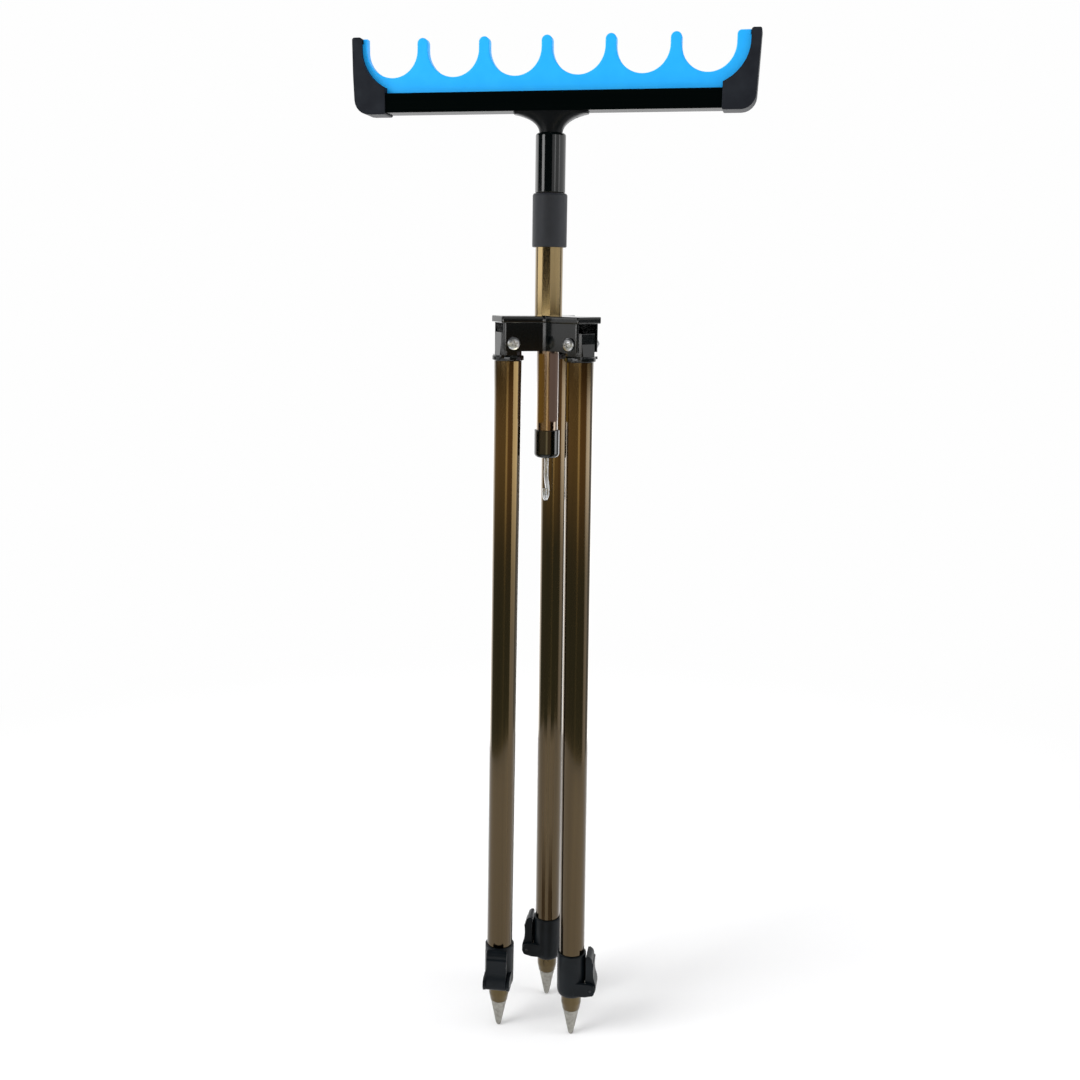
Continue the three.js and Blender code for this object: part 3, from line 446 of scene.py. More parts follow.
def glossy_abs(name, colour, roughness, flow_mm):
    # Moulded ABS, polished tool: a dark body under a clear skin, with faint flow waves and hairline scratches
    material, tree = new_finish(name)
    place = add_node(tree, "ShaderNodeTexCoord").outputs["Object"]
    waves = add_node(tree, "ShaderNodeTexNoise", {"Vector": place, "Scale": 1 / (flow_mm * MM), "Detail": 1})
    grain = add_node(tree, "ShaderNodeTexNoise", {"Vector": place, "Scale": 1 / (0.5 * MM), "Detail": 3})
    dull = add_node(tree, "ShaderNodeMapRange", {
        "Value": grain.outputs["Fac"], "To Min": roughness * 0.8, "To Max": roughness * 1.25,
    })
    ripple = add_node(tree, "ShaderNodeBump", {
        "Height": waves.outputs["Fac"], "Strength": 0.12, "Distance": 0.1 * MM,
    })
    skin = add_node(tree, "ShaderNodeBump", {
        "Height": grain.outputs["Fac"], "Strength": 0.05, "Distance": 0.05 * MM, "Normal": ripple.outputs["Normal"],
    })
    surface = add_node(tree, "ShaderNodeBsdfPrincipled", {
        "Base Color": linear(colour), "Roughness": dull.outputs["Result"], "Normal": skin.outputs["Normal"],
        "IOR": 1.53,
    })
    add_node(tree, "ShaderNodeOutputMaterial", {"Surface": surface.outputs[0]})
    return material


black_abs = glossy_abs("black_abs_polished", "#020505", 0.1, 9)

hub_bottom, hub_top = span("hub")
arm_angles = {"back": 90, "left": 210, "right": 330}
arm_reach = 49
end_lip = 2.5
skirt_half = 15.5
lip_half = 16.5
lip_height = 6
pivot_height = joints["back_leg_fold"]["pos_m"][2] / MM
pivot_radius = 38
bolt_bore = 3.3


def star(half, reach):
    """The hub seen from above: three arms with rounded crooks between them"""
    corners = []
    for angle in arm_angles.values():
        along = Vector((math.cos(math.radians(angle)), math.sin(math.radians(angle))))
        side = Vector((-along.y, along.x))
        between = math.radians(angle + 60)
        crook = half / math.sin(math.radians(60))
        corners.append((*(along * reach - side * half), 2))
        corners.append((*(along * reach + side * half), 2))
        corners.append((crook * math.cos(between), crook * math.sin(between), 4))
    return rounded(corners, 5)


skirt_height = hub_top - hub_bottom - lip_height / 2
skirt = moved(plate(star(skirt_half, arm_reach - end_lip), skirt_height),
              Matrix.Translation((0, 0, hub_bottom + skirt_height / 2)))
lid = moved(plate(star(lip_half, arm_reach), lip_height, 0.9),
            Matrix.Translation((0, 0, hub_top - lip_height / 2)))
column_bore = lathe([(0, hub_bottom - 3), (12.65, hub_bottom - 3), (12.65, hub_top + 3), (0, hub_top + 3)])
ribs = []
hollows = []
for angle in arm_angles.values():
    turn = turned_to("Z", angle)
    hollows.append(moved(box((22, -12.5, hub_bottom - 3), (52, 12.5, hub_top - lip_height)), turn))
    bolt_hole = moved(bolt_core(bolt_bore), Matrix.Translation((pivot_radius, 0, pivot_height)), turn)
    hollows.append(bolt_hole)
    for side in (-5, 5):
        ribs.append(moved(box((20, side - 0.8, hub_top - 11.2), (43.5, side + 0.8, hub_top - 4.5)), turn))
shell = carved(skirt, [lid], [column_bore, *hollows[0::2]])
hub_body = carved(shell, ribs, hollows[1::2], 0.35)
add_piece("hub_moulding", hub_body, column_place, black_abs, "column", ["hub"])

# Column: a 25 mm tube of drawn aluminium, bronze anodised and sealed, pressed into the hub.
# Inside it sit the mast's guide bush and the grub screw that holds it in the hub.
column_bottom, column_top = span("column_tube")


def tube(outer, inner, bottom, top, edge=0.3):
    return lathe([(inner, bottom + edge), (inner + edge, bottom), (outer - edge, bottom), (outer, bottom + edge),
                  (outer, top - edge), (outer - edge, top), (inner + edge, top), (inner, top - edge)])


def bronze_anodised(name, deep, pale, roughness):
    # Anodised aluminium tube: a dyed, sealed metal skin with faint lines along the way that it was drawn
    material, tree = new_finish(name)
    place = add_node(tree, "ShaderNodeTexCoord").outputs["Object"]
    along = add_node(tree, "ShaderNodeMapping", {
        "Vector": place, "Scale": (1 / (0.8 * MM), 1 / (0.8 * MM), 1 / (160 * MM)),
    })
    lines = add_node(tree, "ShaderNodeTexNoise", {"Vector": along.outputs["Vector"], "Scale": 1, "Detail": 3})
    bands = add_node(tree, "ShaderNodeMapping", {
        "Vector": place, "Scale": (1 / (5 * MM), 1 / (5 * MM), 1 / (420 * MM)),
    })
    dye = add_node(tree, "ShaderNodeTexNoise", {"Vector": bands.outputs["Vector"], "Scale": 1, "Detail": 2})
    colour = add_node(tree, "ShaderNodeValToRGB", {"Fac": dye.outputs["Fac"]})
    set_stops(colour, [(0.3, deep), (0.7, pale)])
    drawn = add_node(tree, "ShaderNodeMapRange", {
        "Value": lines.outputs["Fac"], "To Min": roughness * 0.8, "To Max": roughness * 1.3,
    })
    surface = add_node(tree, "ShaderNodeBsdfPrincipled", {
        "Base Color": colour.outputs["Color"], "Metallic": 1.0, "Roughness": drawn.outputs["Result"],
        "Coat Weight": 0.6, "Coat Roughness": 0.08,
    })
    add_node(tree, "ShaderNodeOutputMaterial", {"Surface": surface.outputs[0]})
    return material


def dressed(finish, *nodes):
    """Gives solids of the frame that keep their shape a finish"""
    for node in nodes:
        for held in frame["nodes"][node].material_slots:
            held.material = finish


def natural_acetal():
    # Unfilled acetal: waxy off-white, dull, with a slightly pebbled moulded skin
    material, tree = new_finish("natural_acetal_moulded")
    place = add_node(tree, "ShaderNodeTexCoord").outputs["Object"]
    pebble = add_node(tree, "ShaderNodeTexNoise", {"Vector": place, "Scale": 1 / (0.8 * MM), "Detail": 2})
    tint = add_node(tree, "ShaderNodeValToRGB", {"Fac": pebble.outputs["Fac"]})
    set_stops(tint, [(0, "#d2cdbf"), (1, "#dedacf")])
    skin = add_node(tree, "ShaderNodeBump", {
        "Height": pebble.outputs["Fac"], "Strength": 0.2, "Distance": 0.05 * MM,
    })
    surface = add_node(tree, "ShaderNodeBsdfPrincipled", {
        "Base Color": tint.outputs["Color"], "Roughness": 0.5, "Normal": skin.outputs["Normal"],
        "IOR": 1.48,
    })
    add_node(tree, "ShaderNodeOutputMaterial", {"Surface": surface.outputs[0]})
    return material


def bright_zinc():
    # Zinc plated steel: bright and a little uneven, with fine polishing marks
    material, tree = new_finish("bright_zinc_plated_steel")
    place = add_node(tree, "ShaderNodeTexCoord").outputs["Object"]
    marks = add_node(tree, "ShaderNodeTexNoise", {"Vector": place, "Scale": 1 / (0.7 * MM), "Detail": 4})
    tint = add_node(tree, "ShaderNodeValToRGB", {"Fac": marks.outputs["Fac"]})
    set_stops(tint, [(0, "#b9bbbd"), (1, "#dcddde")])
    dull = add_node(tree, "ShaderNodeMapRange", {"Value": marks.outputs["Fac"], "To Min": 0.28, "To Max": 0.5})
    skin = add_node(tree, "ShaderNodeBump", {
        "Height": marks.outputs["Fac"], "Strength": 0.15, "Distance": 0.05 * MM,
    })
    surface = add_node(tree, "ShaderNodeBsdfPrincipled", {
        "Base Color": tint.outputs["Color"], "Metallic": 1.0, "Roughness": dull.outputs["Result"],
        "Normal": skin.outputs["Normal"],
    })
    add_node(tree, "ShaderNodeOutputMaterial", {"Surface": surface.outputs[0]})
    return material


bronze_thick = bronze_anodised("bronze_anodised_column", "#87724a", "#958157", 0.13)
acetal = natural_acetal()
zinc = bright_zinc()
add_piece("column", tube(12.5, 11.3, column_bottom, column_top), column_place, bronze_thick, "column",
          ["column_tube"])
dressed(acetal, "guide_bush")
dressed(zinc, "column_set_screw")

# Twist lock: a split collet of acetal on a threaded sleeve, squeezed on the mast by the grip collar.
# The collar is moulded nylon, dark grey and finely spark-textured, with a rounded shoulder.
collar_bottom, collar_top = span("twist_collar")
dressed(acetal, "column_sleeve", "collet")


def arc(centre, radius, start, end, steps=8):
    """Points of an arc in a profile, angles in degrees"""
    turns = [math.radians(start + (end - start) * k / steps) for k in range(steps + 1)]
    return [(centre[0] + radius * math.cos(t), centre[1] + radius * math.sin(t)) for t in turns]


def textured_plastic(name, colour, worn, roughness, grit_mm, ior=1.5):
    # Moulded plastic from a spark-textured tool: a fine even grit that softens every highlight
    material, tree = new_finish(name)
    place = add_node(tree, "ShaderNodeTexCoord").outputs["Object"]
    grit = add_node(tree, "ShaderNodeTexNoise", {"Vector": place, "Scale": 1 / (grit_mm * MM), "Detail": 3})
    cloud = add_node(tree, "ShaderNodeTexNoise", {"Vector": place, "Scale": 1 / (14 * MM), "Detail": 2})
    tint = add_node(tree, "ShaderNodeValToRGB", {"Fac": cloud.outputs["Fac"]})
    set_stops(tint, [(0.3, colour), (0.75, worn)])
    dull = add_node(tree, "ShaderNodeMapRange", {
        "Value": grit.outputs["Fac"], "To Min": roughness * 0.85, "To Max": min(1.0, roughness * 1.15),
    })
    skin = add_node(tree, "ShaderNodeBump", {
        "Height": grit.outputs["Fac"], "Strength": 0.35, "Distance": 0.08 * MM,
    })
    surface = add_node(tree, "ShaderNodeBsdfPrincipled", {
        "Base Color": tint.outputs["Color"], "Roughness": dull.outputs["Result"], "Normal": skin.outputs["Normal"],
        "IOR": ior,
    })
    add_node(tree, "ShaderNodeOutputMaterial", {"Surface": surface.outputs[0]})
    return material


grip_nylon = textured_plastic("grip_nylon_spark_textured", "#1b1e24", "#21242b", 0.55, 0.5)
collar_profile = [
    (14.05, collar_bottom + 0.3), (14.3, collar_bottom), (14.9, collar_bottom),
    *arc((14.7, collar_bottom + 0.8), 0.8, -80, 0, 4),
    *arc((13.1, collar_top - 2.4), 2.4, 0, 90),
    (10.6, collar_top), (10.3, collar_top - 0.3), (10.3, collar_top - 3.7),
    (11.7, collar_top - 3.7), (13.6, collar_bottom + 18.7), (14.05, collar_bottom + 18.7),
]
add_piece("twist_collar_grip", lathe(collar_profile), column_place, grip_nylon, "collar",
          ["twist_collar"])

# Leg fittings: gloss black ABS plugs glued into the leg tubes. Each has a flange that covers the
# tube's end and a lug that turns on the pivot bolt, inside the hub's arm.
head_sides = {"back": 1, "left": 1, "right": -1}


def upright(body):
    """Stands a plate up, so that its outline is seen from the front"""
    return moved(body, turned_to("X", 90))


for name in leg_names:
    lug_shape = rounded([(-10.5, -13.2, 0), (10.5, -13.2, 0), (9.5, 0, 4), (9.5, 9.5, 0.8), (-9.5, 9.5, 4),
                         (-9.5, 0, 4)])
    lug = upright(plate(lug_shape, 24.4))
    flange = lathe([(0, -15.5), (13.9, -15.5), (14.3, -15.1), *arc((12.8, -12.3), 1.5, 0, 90, 5), (0, -10.8)])
    plug = lathe([(0, -40.5), (10.3, -40.5), (11.0, -39.8), (11.0, -13), (0, -13)])
    collar_cut = lathe([(13, -10.8), (30, -10.8), (30, 14), (13, 14)])
    lug_body = carved(lug, [], [collar_cut, bolt_core(bolt_bore)], 0.4)
    fitting = carved(flange, [plug, lug_body])
    add_piece(name + "_leg_fitting_moulding", fitting, leg_place(name), black_abs, name + "_leg",
              [name + "_leg_fitting"])

# Pivot bolts: M6 pan head screws with a cross recess, bright zinc plated, and a hexagon nut
# on the far side of each arm.
for name in leg_names:
    side = head_sides[name]
    place = (column_place @ turned_to("Z", arm_angles[name]) @ offset(pivot_radius, 0, pivot_height)
             @ turned_to("X", -90 * side))
    seat = skirt_half + 0.3
    head_top = seat + 3.6
    dome = [(5.8 * math.cos(math.radians(t)), seat + 1.2 + 2.4 * math.sin(math.radians(t))) for t in range(0, 90, 10)]
    screw = lathe([(0, -seat - 5), (2.6, -seat - 5), (3, -seat - 4.6), (3, seat), (5.5, seat), (5.8, seat + 0.3),
                   *dome, (0, head_top)], 64)
    recess = [moved(box((-3, -0.55, head_top - 1.7), (3, 0.55, head_top + 2)), turned_to("Z", 20 + turn))
              for turn in (0, 90)]
    add_piece(name + "_pivot_screw", carved(screw, [], recess, 0.1), place, zinc, "column",
              [name + "_pivot_bolt"])
    hexagon = rounded([(5.77 * math.cos(math.radians(t)), 5.77 * math.sin(math.radians(t)), 0.5)
                       for t in range(0, 360, 60)])
    nut = moved(plate(hexagon, 5, 0.3), Matrix.Translation((0, 0, -seat - 2.5)))
    nut = carved(nut, [], [lathe([(0, -seat - 8), (3.15, -seat - 8), (3.15, -seat + 3), (0, -seat + 3)], 32)])
    add_piece(name + "_pivot_hexagon_nut", nut, place, zinc, "column", [name + "_pivot_nut"])

# Outer leg tubes: 25 mm drawn aluminium, anodised a deeper bronze than the column.
bronze_deep = bronze_anodised("bronze_anodised_leg", "#4a3b21", "#534327", 0.13)
pivot_to_tip = 685


def ground_place(name):
    """The leg's axes with the origin on the ground, under its spike"""
    return leg_place(name) @ offset(0, 0, -pivot_to_tip)


for name in leg_names:
    add_piece(name + "_outer_leg", tube(12.5, 11.3, 71.3, 669.2), ground_place(name), bronze_deep, name + "_leg",
              [name + "_outer_tube"])

# Lever clamps: a glass-filled nylon housing pushed on the outer tube, with two ears and a cam lever.
# The lever turns on a blackened pin and presses an acetal pad on the inner tube.
clamp_nylon = textured_plastic("clamp_nylon_glass_filled", "#0a0f13", "#10161a", 0.34, 0.6, 1.28)
dark_pin = textured_plastic("blackened_steel_pin", "#1b1d20", "#26282c", 0.35, 0.4)
clamp_height = 45.5
pin_reach = 19.9
pin_rise = 10.5


def clamp_place(name):
    """The clamp's own axes, with the origin on the leg's axis at the housing's foot, X towards the lever pin"""
    joint = joints[name + "_lever_open"]
    up = -Vector(joints[name + "_leg_extend"]["axis"])
    across = Vector(joint["axis"])
    out = across.cross(up)
    origin = Vector(joint["pos_m"]) - out * pin_reach * MM - up * pin_rise * MM
    return Matrix.Translation(origin) @ Matrix((out, across, up)).transposed().to_4x4()


def through(points, steps=6):
    """A smooth curve through points, ends included"""
    held = [points[0], *points, points[-1]]
    curve = []
    for a, b, c, d in zip(held, held[1:], held[2:], held[3:]):
        for k in range(steps):
            t = k / steps
            curve.append(tuple(0.5 * (2 * b[i] + (c[i] - a[i]) * t + (2 * a[i] - 5 * b[i] + 4 * c[i] - d[i]) * t ** 2
                                      + (3 * b[i] - a[i] - 3 * c[i] + d[i]) * t ** 3) for i in range(len(b))))
    return curve + [tuple(points[-1])]


lever_out = [(5.4, 0.7), (5.3, 3.2), (4.6, 6.8), (3.2, 11.9), (2.6, 18), (2.8, 23.8), (3.0, 27), (1.8, 28.4), (1.5, 31),
             (0.3, 33.8), (-2.2, 35.6)]
lever_in = [(-4.3, 35.3), (-4.75, 33.5), (-4.75, 2.2)]
for name in leg_names:
    shell = lathe([(0, 0), (11.2, 0), (11.6, 0.4), *[(11.6 + 2.65 * math.sin(math.radians(t)),
                                                     0.4 + 6.6 * (1 - math.cos(math.radians(t))))
                                                    for t in range(10, 91, 10)],
                   *arc((13.25, clamp_height - 1), 1, 0, 90, 4), (0, clamp_height)])
    ear_shape = rounded([(3, 3.5, 0), (15, 3.5, 1.3), (23, 5.5, 2.5), (25, 10.5, 2.5), (23.8, 15.5, 2.5),
                         (18.8, 17.5, 2), (3, 17.5, 0)], 6)
    ears = [moved(upright(plate(ear_shape, 3.3, 0.6)), Matrix.Translation((0, side * 11.65, 0))) for side in (-1, 1)]
    bores = [lathe([(0, -3), (10.3, -3), (10.3, 28), (0, 28)]), lathe([(0, 25.5), (12.8, 25.5), (12.8, 50), (0, 50)]),
             box((0, -4.3, 4.5), (18, 4.3, 16.5)),
             moved(bolt_core(1.65, 24), Matrix.Translation((pin_reach, 0, pin_rise)))]
    add_piece(name + "_clamp_body", carved(shell, ears, bores, 0.35), clamp_place(name), clamp_nylon,
              name + "_leg", [name + "_clamp_housing"])

    blade = [(0, 0), lever_out[0], *through(lever_out[1:]), *lever_in]
    blade = upright(plate(blade, 19.4))
    cam = moved(lathe([(0, -9.7), (5.3, -9.7), (5.3, 9.7), (0, 9.7)]), turned_to("X", 90),
                Matrix.Translation((-0.1, 0, 0)))
    hollow = box((-9, -7.5, 7.5), (0, 7.5, 29.5))
    lever = carved(blade, [cam], [bolt_core(1.8, 24), hollow], 0.5)
    add_piece(name + "_cam_lever", lever, clamp_place(name) @ offset(pin_reach, 0, pin_rise),
              clamp_nylon, name + "_lever", [name + "_clamp_lever"])

    rivet = lathe([(0, -13.3), (1.1, -13.3), (1.5, -12.9), (1.5, 12.9), (1.1, 13.3), (0, 13.3)], 32)
    add_piece(name + "_lever_rivet", moved(rivet, turned_to("X", 90)),
              clamp_place(name) @ offset(pin_reach, 0, pin_rise), dark_pin, name + "_leg",
              [name + "_lever_pin"])
    dressed(acetal, name + "_brake_pad")

# Inner leg tubes: 20 mm tube of the same finish, swaged in at its lower end over the spike's neck,
# with an acetal bush on its upper end.
bronze_thin = bronze_anodised("bronze_anodised_inner_leg", "#574828", "#625231", 0.18)
inner_top = 615.5
for name in leg_names:
    swaged = lathe([(7.4, 29), (8.4, 29), (8.6, 29.3), (8.75, 30.3), (9.75, 35.4), (9.95, 36.6), (10, 38),
                    (10, inner_top - 0.3), (9.7, inner_top), (9.1, inner_top), (8.8, inner_top - 0.3), (8.8, 37)])
    add_piece(name + "_inner_leg", swaged, ground_place(name), bronze_thin, name + "_foot",
              [name + "_inner_tube"])
    dressed(acetal, name + "_inner_bush")


# Spikes: die-cast zinc alloy cones, grey and dull, with a rounded tip and a turned shoulder.
def cast_zinc():
    # Die-cast alloy: a dull grey metal with a cloudy, slightly pitted skin
    material, tree = new_finish("zinc_alloy_die_cast")
    place = add_node(tree, "ShaderNodeTexCoord").outputs["Object"]
    cloud = add_node(tree, "ShaderNodeTexNoise", {"Vector": place, "Scale": 1 / (3 * MM), "Detail": 4})
    tint = add_node(tree, "ShaderNodeValToRGB", {"Fac": cloud.outputs["Fac"]})
    set_stops(tint, [(0.3, "#93918a"), (0.7, "#b3b1a9")])
    pits = add_node(tree, "ShaderNodeTexNoise", {"Vector": place, "Scale": 1 / (0.6 * MM), "Detail": 2})
    dull = add_node(tree, "ShaderNodeMapRange", {"Value": cloud.outputs["Fac"], "To Min": 0.3, "To Max": 0.5})
    skin = add_node(tree, "ShaderNodeBump", {"Height": pits.outputs["Fac"], "Strength": 0.3, "Distance": 0.06 * MM})
    surface = add_node(tree, "ShaderNodeBsdfPrincipled", {
        "Base Color": tint.outputs["Color"], "Metallic": 1.0, "Roughness": dull.outputs["Result"],
        "Normal": skin.outputs["Normal"],
    })
    add_node(tree, "ShaderNodeOutputMaterial", {"Surface": surface.outputs[0]})
    return material


spike_zinc = cast_zinc()
for name in leg_names:
    cone = lathe([(0, 0), (0.9, 0.05), (1.7, 0.5), (2.3, 1.4), (2.8, 2.8), (7.9, 28), (8.05, 28.4), (7.8, 28.7),
                  (7, 28.7), (7, 37.3), (8.5, 37.3), (8.5, 55.8), (8.0, 56.3), (0, 56.3)])
    add_piece(name + "_spike_cone", cone, ground_place(name), spike_zinc, name + "_foot",
              [name + "_spike"])

# Mast: the 20 mm tube that slides through the column and carries the rod bar.
# Its lower end is closed by a gloss black cup, which meets the hub when the mast is fully raised.
mast_bottom, mast_top = span("mast_tube")
cup_bottom, cup_top = span("bottom_cap")
bronze_mast = bronze_anodised("bronze_anodised_mast", "#6a5b4c", "#786857", 0.16)
add_piece("mast", tube(10, 8.8, mast_bottom, mast_top), column_place, bronze_mast, "mast",
          ["mast_tube"])
cup = lathe([(2.3, cup_bottom + 0.3), (2.6, cup_bottom), *arc((7.75, cup_bottom + 4), 4, -90, 0),
             (11.75, cup_top - 0.4), (11.35, cup_top), (10.6, cup_top), (10.3, cup_top - 0.3),
             (10.3, cup_bottom + 7), (2.3, cup_bottom + 7)])
add_piece("mast_cup", cup, column_place, black_abs, "mast", ["bottom_cap"])

# Ballast hook: 4 mm steel wire bent to an open hook, bright plated, held in the cup by a nut.
hook_bottom, hook_top = span("hook")


def wire(points, radius, steps=16):
    """A round wire along a curve in the YZ plane, with softened ends"""
    path = [Vector(p) for p in points]
    body = bmesh.new()
    rings = []
    sizes = [radius] * len(path)
    sizes[0] = sizes[-1] = radius * 0.8
    for i, point in enumerate(path):
        ahead = (path[min(i + 1, len(path) - 1)] - path[max(i - 1, 0)]).normalized()
        side = Vector((1, 0, 0))
        lift = ahead.cross(side)
        rings.append([body.verts.new(point + (side * math.cos(t) + lift * math.sin(t)) * sizes[i])
                      for t in (2 * math.pi * k / steps for k in range(steps))])
    for low, high in zip(rings, rings[1:]):
        for k in range(steps):
            body.faces.new((low[k], low[(k + 1) % steps], high[(k + 1) % steps], high[k]))
    body.faces.new(rings[0])
    body.faces.new(rings[-1])
    bmesh.ops.recalc_face_normals(body, faces=body.faces)
    return body


bend = 7
bend_centre = cup_bottom - 41 + 2 + bend
hook_points = [(0, 0, hook_top - 0.3), (0, 0, cup_bottom + 1), (0, 0, cup_bottom - 2), (0, 0, bend_centre + 14)]
hook_points += [(0, bend * math.cos(math.radians(t)), bend_centre + bend * math.sin(math.radians(t)))
                for t in range(30, -181, -30)]
hook_points += [(0, -bend, bend_centre + 3.5)]
hook_curve = [(0, 0, hook_top), *through(hook_points, 8), (0, -bend, bend_centre + 3.5 + 0.01)]
add_piece("hook_wire", wire(hook_curve, 2), column_place, zinc, "hook", ["hook"], 50)
dressed(zinc, "hook_nut")

# Socket: a gloss black ABS sleeve, glued on the mast's top, that takes the neck's spigot.
socket_bottom, socket_top = span("socket")
sleeve = lathe([(10.3, socket_bottom + 0.3), (10.6, socket_bottom), (12.8, socket_bottom), (13.2, socket_bottom + 0.2),
                (13.4, socket_bottom + 0.6), *arc((10.8, socket_top - 2.6), 2.6, 0, 90), (10.4, socket_top),
                (10.3, socket_top - 0.2)])
add_piece("socket_sleeve", sleeve, column_place, black_abs, "mast", ["socket"])

# Neck: a satin black moulding that flares from a round spigot to the plate under the rod channel.
# Two countersunk screws inside the channel hold the bar on it.
satin_abs = textured_plastic("black_abs_satin", "#05080a", "#0a0d10", 0.36, 0.6, 1.25)
channel_bottom, channel_top = span("channel")
neck_bottom = span("neck")[0]
neck_foot = socket_top + 0.3
saddle_half, saddle_depth, saddle_sweep, neck_radius = 33.5, 10.2, 38, 10.3
rings = []
neck_steps = 24
for level in range(neck_steps):
    t = level / (neck_steps - 1)
    ease = math.sin(t * math.pi / 2)
    spread = 1 - math.sqrt(max(0, 1 - ease * ease))
    half_x = min(saddle_half, neck_radius + saddle_sweep * spread)
    rings.append((half_x, neck_radius + (saddle_depth - neck_radius) * t, 2 + 2 * t,
                  neck_foot + (channel_bottom - 0.6 - neck_foot) * ease))
rings.append((saddle_half, saddle_depth, 4, channel_bottom))
neck_body = bmesh.new()
loops = []
for half_x, half_y, power, height in rings:
    loop = []
    for k in range(96):
        c, s = math.cos(2 * math.pi * k / 96), math.sin(2 * math.pi * k / 96)
        x = half_x * math.copysign(abs(c) ** (2 / power), c)
        y = half_y * math.copysign(abs(s) ** (2 / power), s)
        loop.append(neck_body.verts.new((x, y, height)))
    loops.append(loop)
for low, high in zip(loops, loops[1:]):
    for k in range(96):
        neck_body.faces.new((low[k], low[(k + 1) % 96], high[(k + 1) % 96], high[k]))
neck_body.faces.new(loops[0])
neck_body.faces.new(loops[-1])
bmesh.ops.recalc_face_normals(neck_body, faces=neck_body.faces)
spigot = lathe([(0, neck_bottom), (9.6, neck_bottom), (10, neck_bottom + 0.4), (10, neck_foot + 8), (0, neck_foot + 8)])
screw_holes = [moved(lathe([(0, channel_bottom - 5), (2.05, channel_bottom - 5), (2.05, channel_bottom + 3),
                            (0, channel_bottom + 3)], 32), Matrix.Translation((side * 22, 0, 0))) for side in (-1, 1)]
add_piece("neck_saddle", carved(neck_body, [spigot], screw_holes), column_place, satin_abs, "mast",
          ["neck"])
dressed(zinc, "neck_screw_left", "neck_screw_right")


# Rod channel: a black anodised aluminium extrusion, polished before anodising, whose slot grips the comb.
def black_anodised():
    # Black anodised extrusion: a deep sealed black with fine die lines along the bar
    material, tree = new_finish("black_anodised_extrusion")
    place = add_node(tree, "ShaderNodeTexCoord").outputs["Object"]
    along = add_node(tree, "ShaderNodeMapping", {
        "Vector": place, "Scale": (1 / (90 * MM), 1 / (0.5 * MM), 1 / (0.5 * MM)),
    })
    lines = add_node(tree, "ShaderNodeTexNoise", {"Vector": along.outputs["Vector"], "Scale": 1, "Detail": 3})
    dull = add_node(tree, "ShaderNodeMapRange", {"Value": lines.outputs["Fac"], "To Min": 0.17, "To Max": 0.3})
    scored = add_node(tree, "ShaderNodeBump", {
        "Height": lines.outputs["Fac"], "Strength": 0.12, "Distance": 0.02 * MM,
    })
    tint = add_node(tree, "ShaderNodeValToRGB", {"Fac": lines.outputs["Fac"]})
    set_stops(tint, [(0, "#010404"), (1, "#040807")])
    surface = add_node(tree, "ShaderNodeBsdfPrincipled", {
        "Base Color": tint.outputs["Color"], "Roughness": dull.outputs["Result"], "Normal": scored.outputs["Normal"],
        "IOR": 1.06,
    })
    add_node(tree, "ShaderNodeOutputMaterial", {"Surface": surface.outputs[0]})
    return material


channel_finish = black_anodised()
cup_count = 6
cup_pitch = 56.1
bar_half = cup_count * cup_pitch / 2 + 11.9
channel_half = bar_half - 11
half_section = [(10.5, 0, 0.8), (10.5, 16.6, 0.8), (4.8, 16.6, 0.3), (4.8, 14.6, 0), (8.5, 14.6, 0), (8.5, 2, 0),
                (6.8, 2, 0), (6.8, 6, 0), (4.8, 6, 0), (4.8, 2, 0)]
section = rounded(half_section + [(-x, y, r) for x, y, r in reversed(half_section)])
lengthways = Matrix(((0, 0, 1, 0), (1, 0, 0, 0), (0, 1, 0, 0), (0, 0, 0, 1)))
bar = moved(plate(section, 2 * channel_half), lengthways, Matrix.Translation((0, 0, channel_bottom)))
sinks = [moved(lathe([(0, -6.4), (2.05, -6.4), (2.05, 0.0), (3.75, 2.15), (0, 2.15)], 32),
               Matrix.Translation((side * 22, 0, channel_bottom))) for side in (-1, 1)]
add_piece("rod_channel", carved(bar, [], sinks), column_place, channel_finish, "mast", ["channel"])

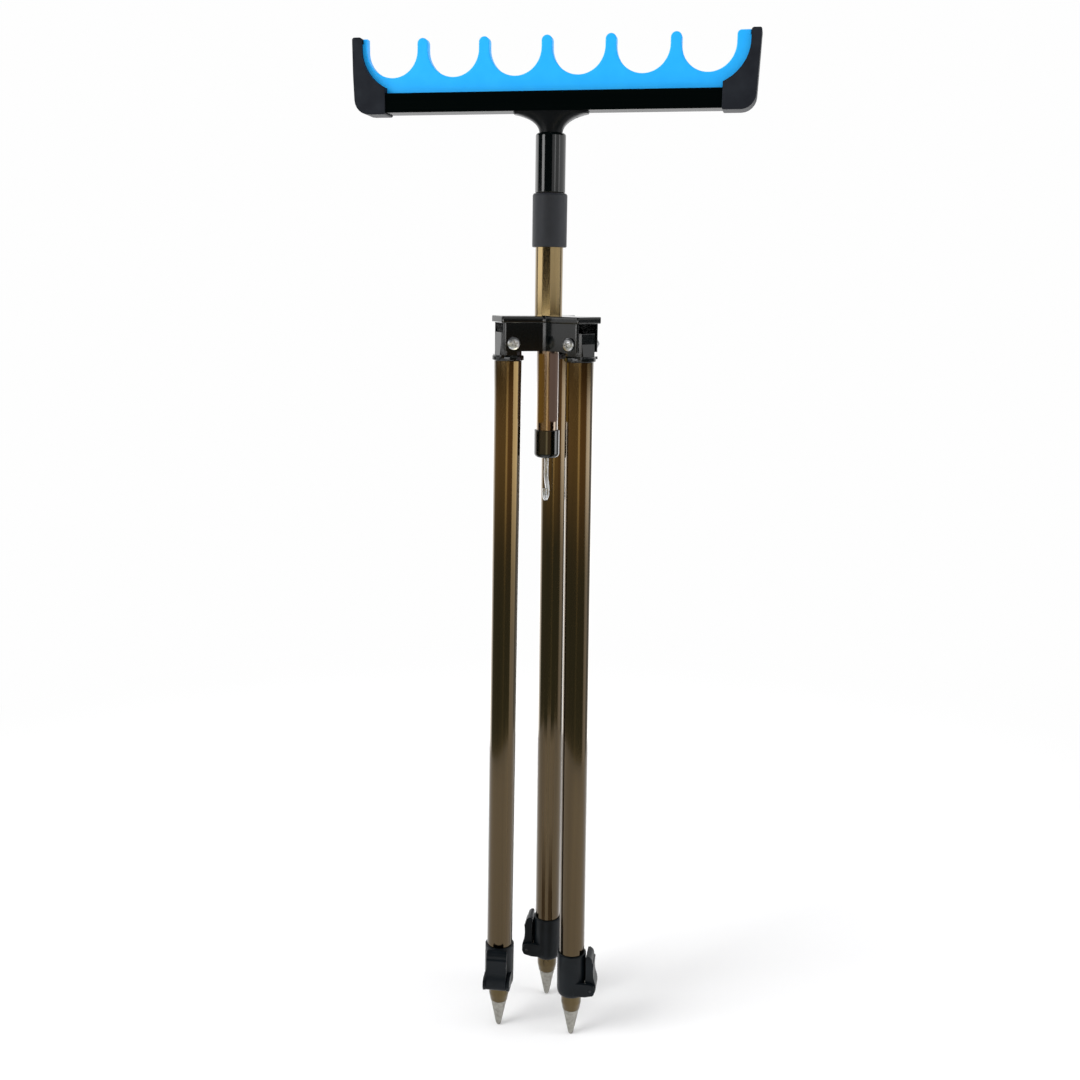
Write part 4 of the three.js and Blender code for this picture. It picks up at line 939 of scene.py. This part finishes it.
# Rod comb: one azure ABS moulding with six U-shaped cups for the rods between rounded fingers.
azure_abs = textured_plastic("azure_abs_satin", "#12acff", "#1cb2ff", 0.4, 0.7, 1.35)
comb_bottom, comb_top = span("comb")
finger_half = 4.8
cup_radius = (cup_pitch - 2 * finger_half) / 2
cup_centre = comb_top - 10
cup_shift = -4
cap_wall = 8.8
notch_end = bar_half - cap_wall - 0.3
comb_half = bar_half - 6.1
last_cup = cup_count - 1
outline = [(-comb_half + 5, comb_bottom), (comb_half - 5, comb_bottom), (comb_half, comb_bottom + 5),
           (comb_half, comb_top - 4), (notch_end, comb_top - 4), (notch_end, comb_top)]
for index in range(last_cup, -1, -1):
    x = cup_shift + (index - last_cup / 2) * cup_pitch
    if index == last_cup:
        outline += rounded([(notch_end, comb_top, 0), (x + cup_radius, comb_top, 3.5), (x + cup_radius, cup_centre, 0)],
                           8)[1:-1]
    outline += arc((x, cup_centre), cup_radius, 0, -180, 30)
    if index:
        outline += arc((x - cup_pitch / 2, comb_top - finger_half), finger_half, 0, 180, 12)
outline += [(cup_shift - last_cup / 2 * cup_pitch - cup_radius, comb_top), (-notch_end, comb_top),
            (-notch_end, comb_top - 4), (-comb_half, comb_top - 4), (-comb_half, comb_bottom + 5)]
add_piece("rod_comb", upright(plate(outline, 9, 1.2, 4)), column_place, azure_abs, "mast", ["comb"])

# End caps: charcoal nylon mouldings pushed over the channel's ends. Each is as deep as the channel
# at its foot, sweeps up beside the first cup and closes the comb's end.
cap_nylon = textured_plastic("charcoal_nylon_moulded", "#1f2126", "#272a2f", 0.42, 0.7, 1.1)
cap_bottom, cap_top = span("end_cap_right")
cap_inner = bar_half - 31
sweep_start = bar_half - cap_wall
sweep_foot = channel_top + 4.8
sweep_rise = 33
sweep_turn = 65
sweep_x = (sweep_start - cap_inner) / (1 - math.cos(math.radians(sweep_turn)))
sweep_z = sweep_rise / math.sin(math.radians(sweep_turn))
sweep = [(sweep_start - sweep_x + sweep_x * math.cos(math.radians(t)),
          sweep_foot + sweep_rise + sweep_z * math.sin(math.radians(t))) for t in range(0, -sweep_turn - 1, -5)]
for name, turn in (("right", 0), ("left", 180)):
    cap_outline = rounded([(cap_inner, cap_bottom, 1.6), (bar_half - 2.8, cap_bottom, 13), (bar_half, cap_top, 2),
                           (sweep_start, cap_top, 2), *[(x, z, 0) for x, z in sweep]], 6)
    blank = upright(plate(cap_outline, 24, 1.0))
    wedges = [moved(plate([(side * 12.1, sweep_foot), (side * 8, cap_top + 3), (side * 30, cap_top + 3),
                           (side * 30, sweep_foot)][::side], 400), lengthways) for side in (-1, 1)]
    pocket = box((cap_inner - 3, -10.8, channel_bottom - 0.3), (channel_half + 0.3, 10.8, channel_top + 0.3))
    slot = box((cap_inner - 3, -4.8, comb_bottom + 4.6), (comb_half + 0.3, 4.8, comb_top - 3.7))
    cap = moved(carved(blank, [], [*wedges, pocket, slot]), turned_to("Z", turn))
    add_piece("end_cap_moulding_" + name, cap, column_place, cap_nylon, "mast",
              ["end_cap_" + name])
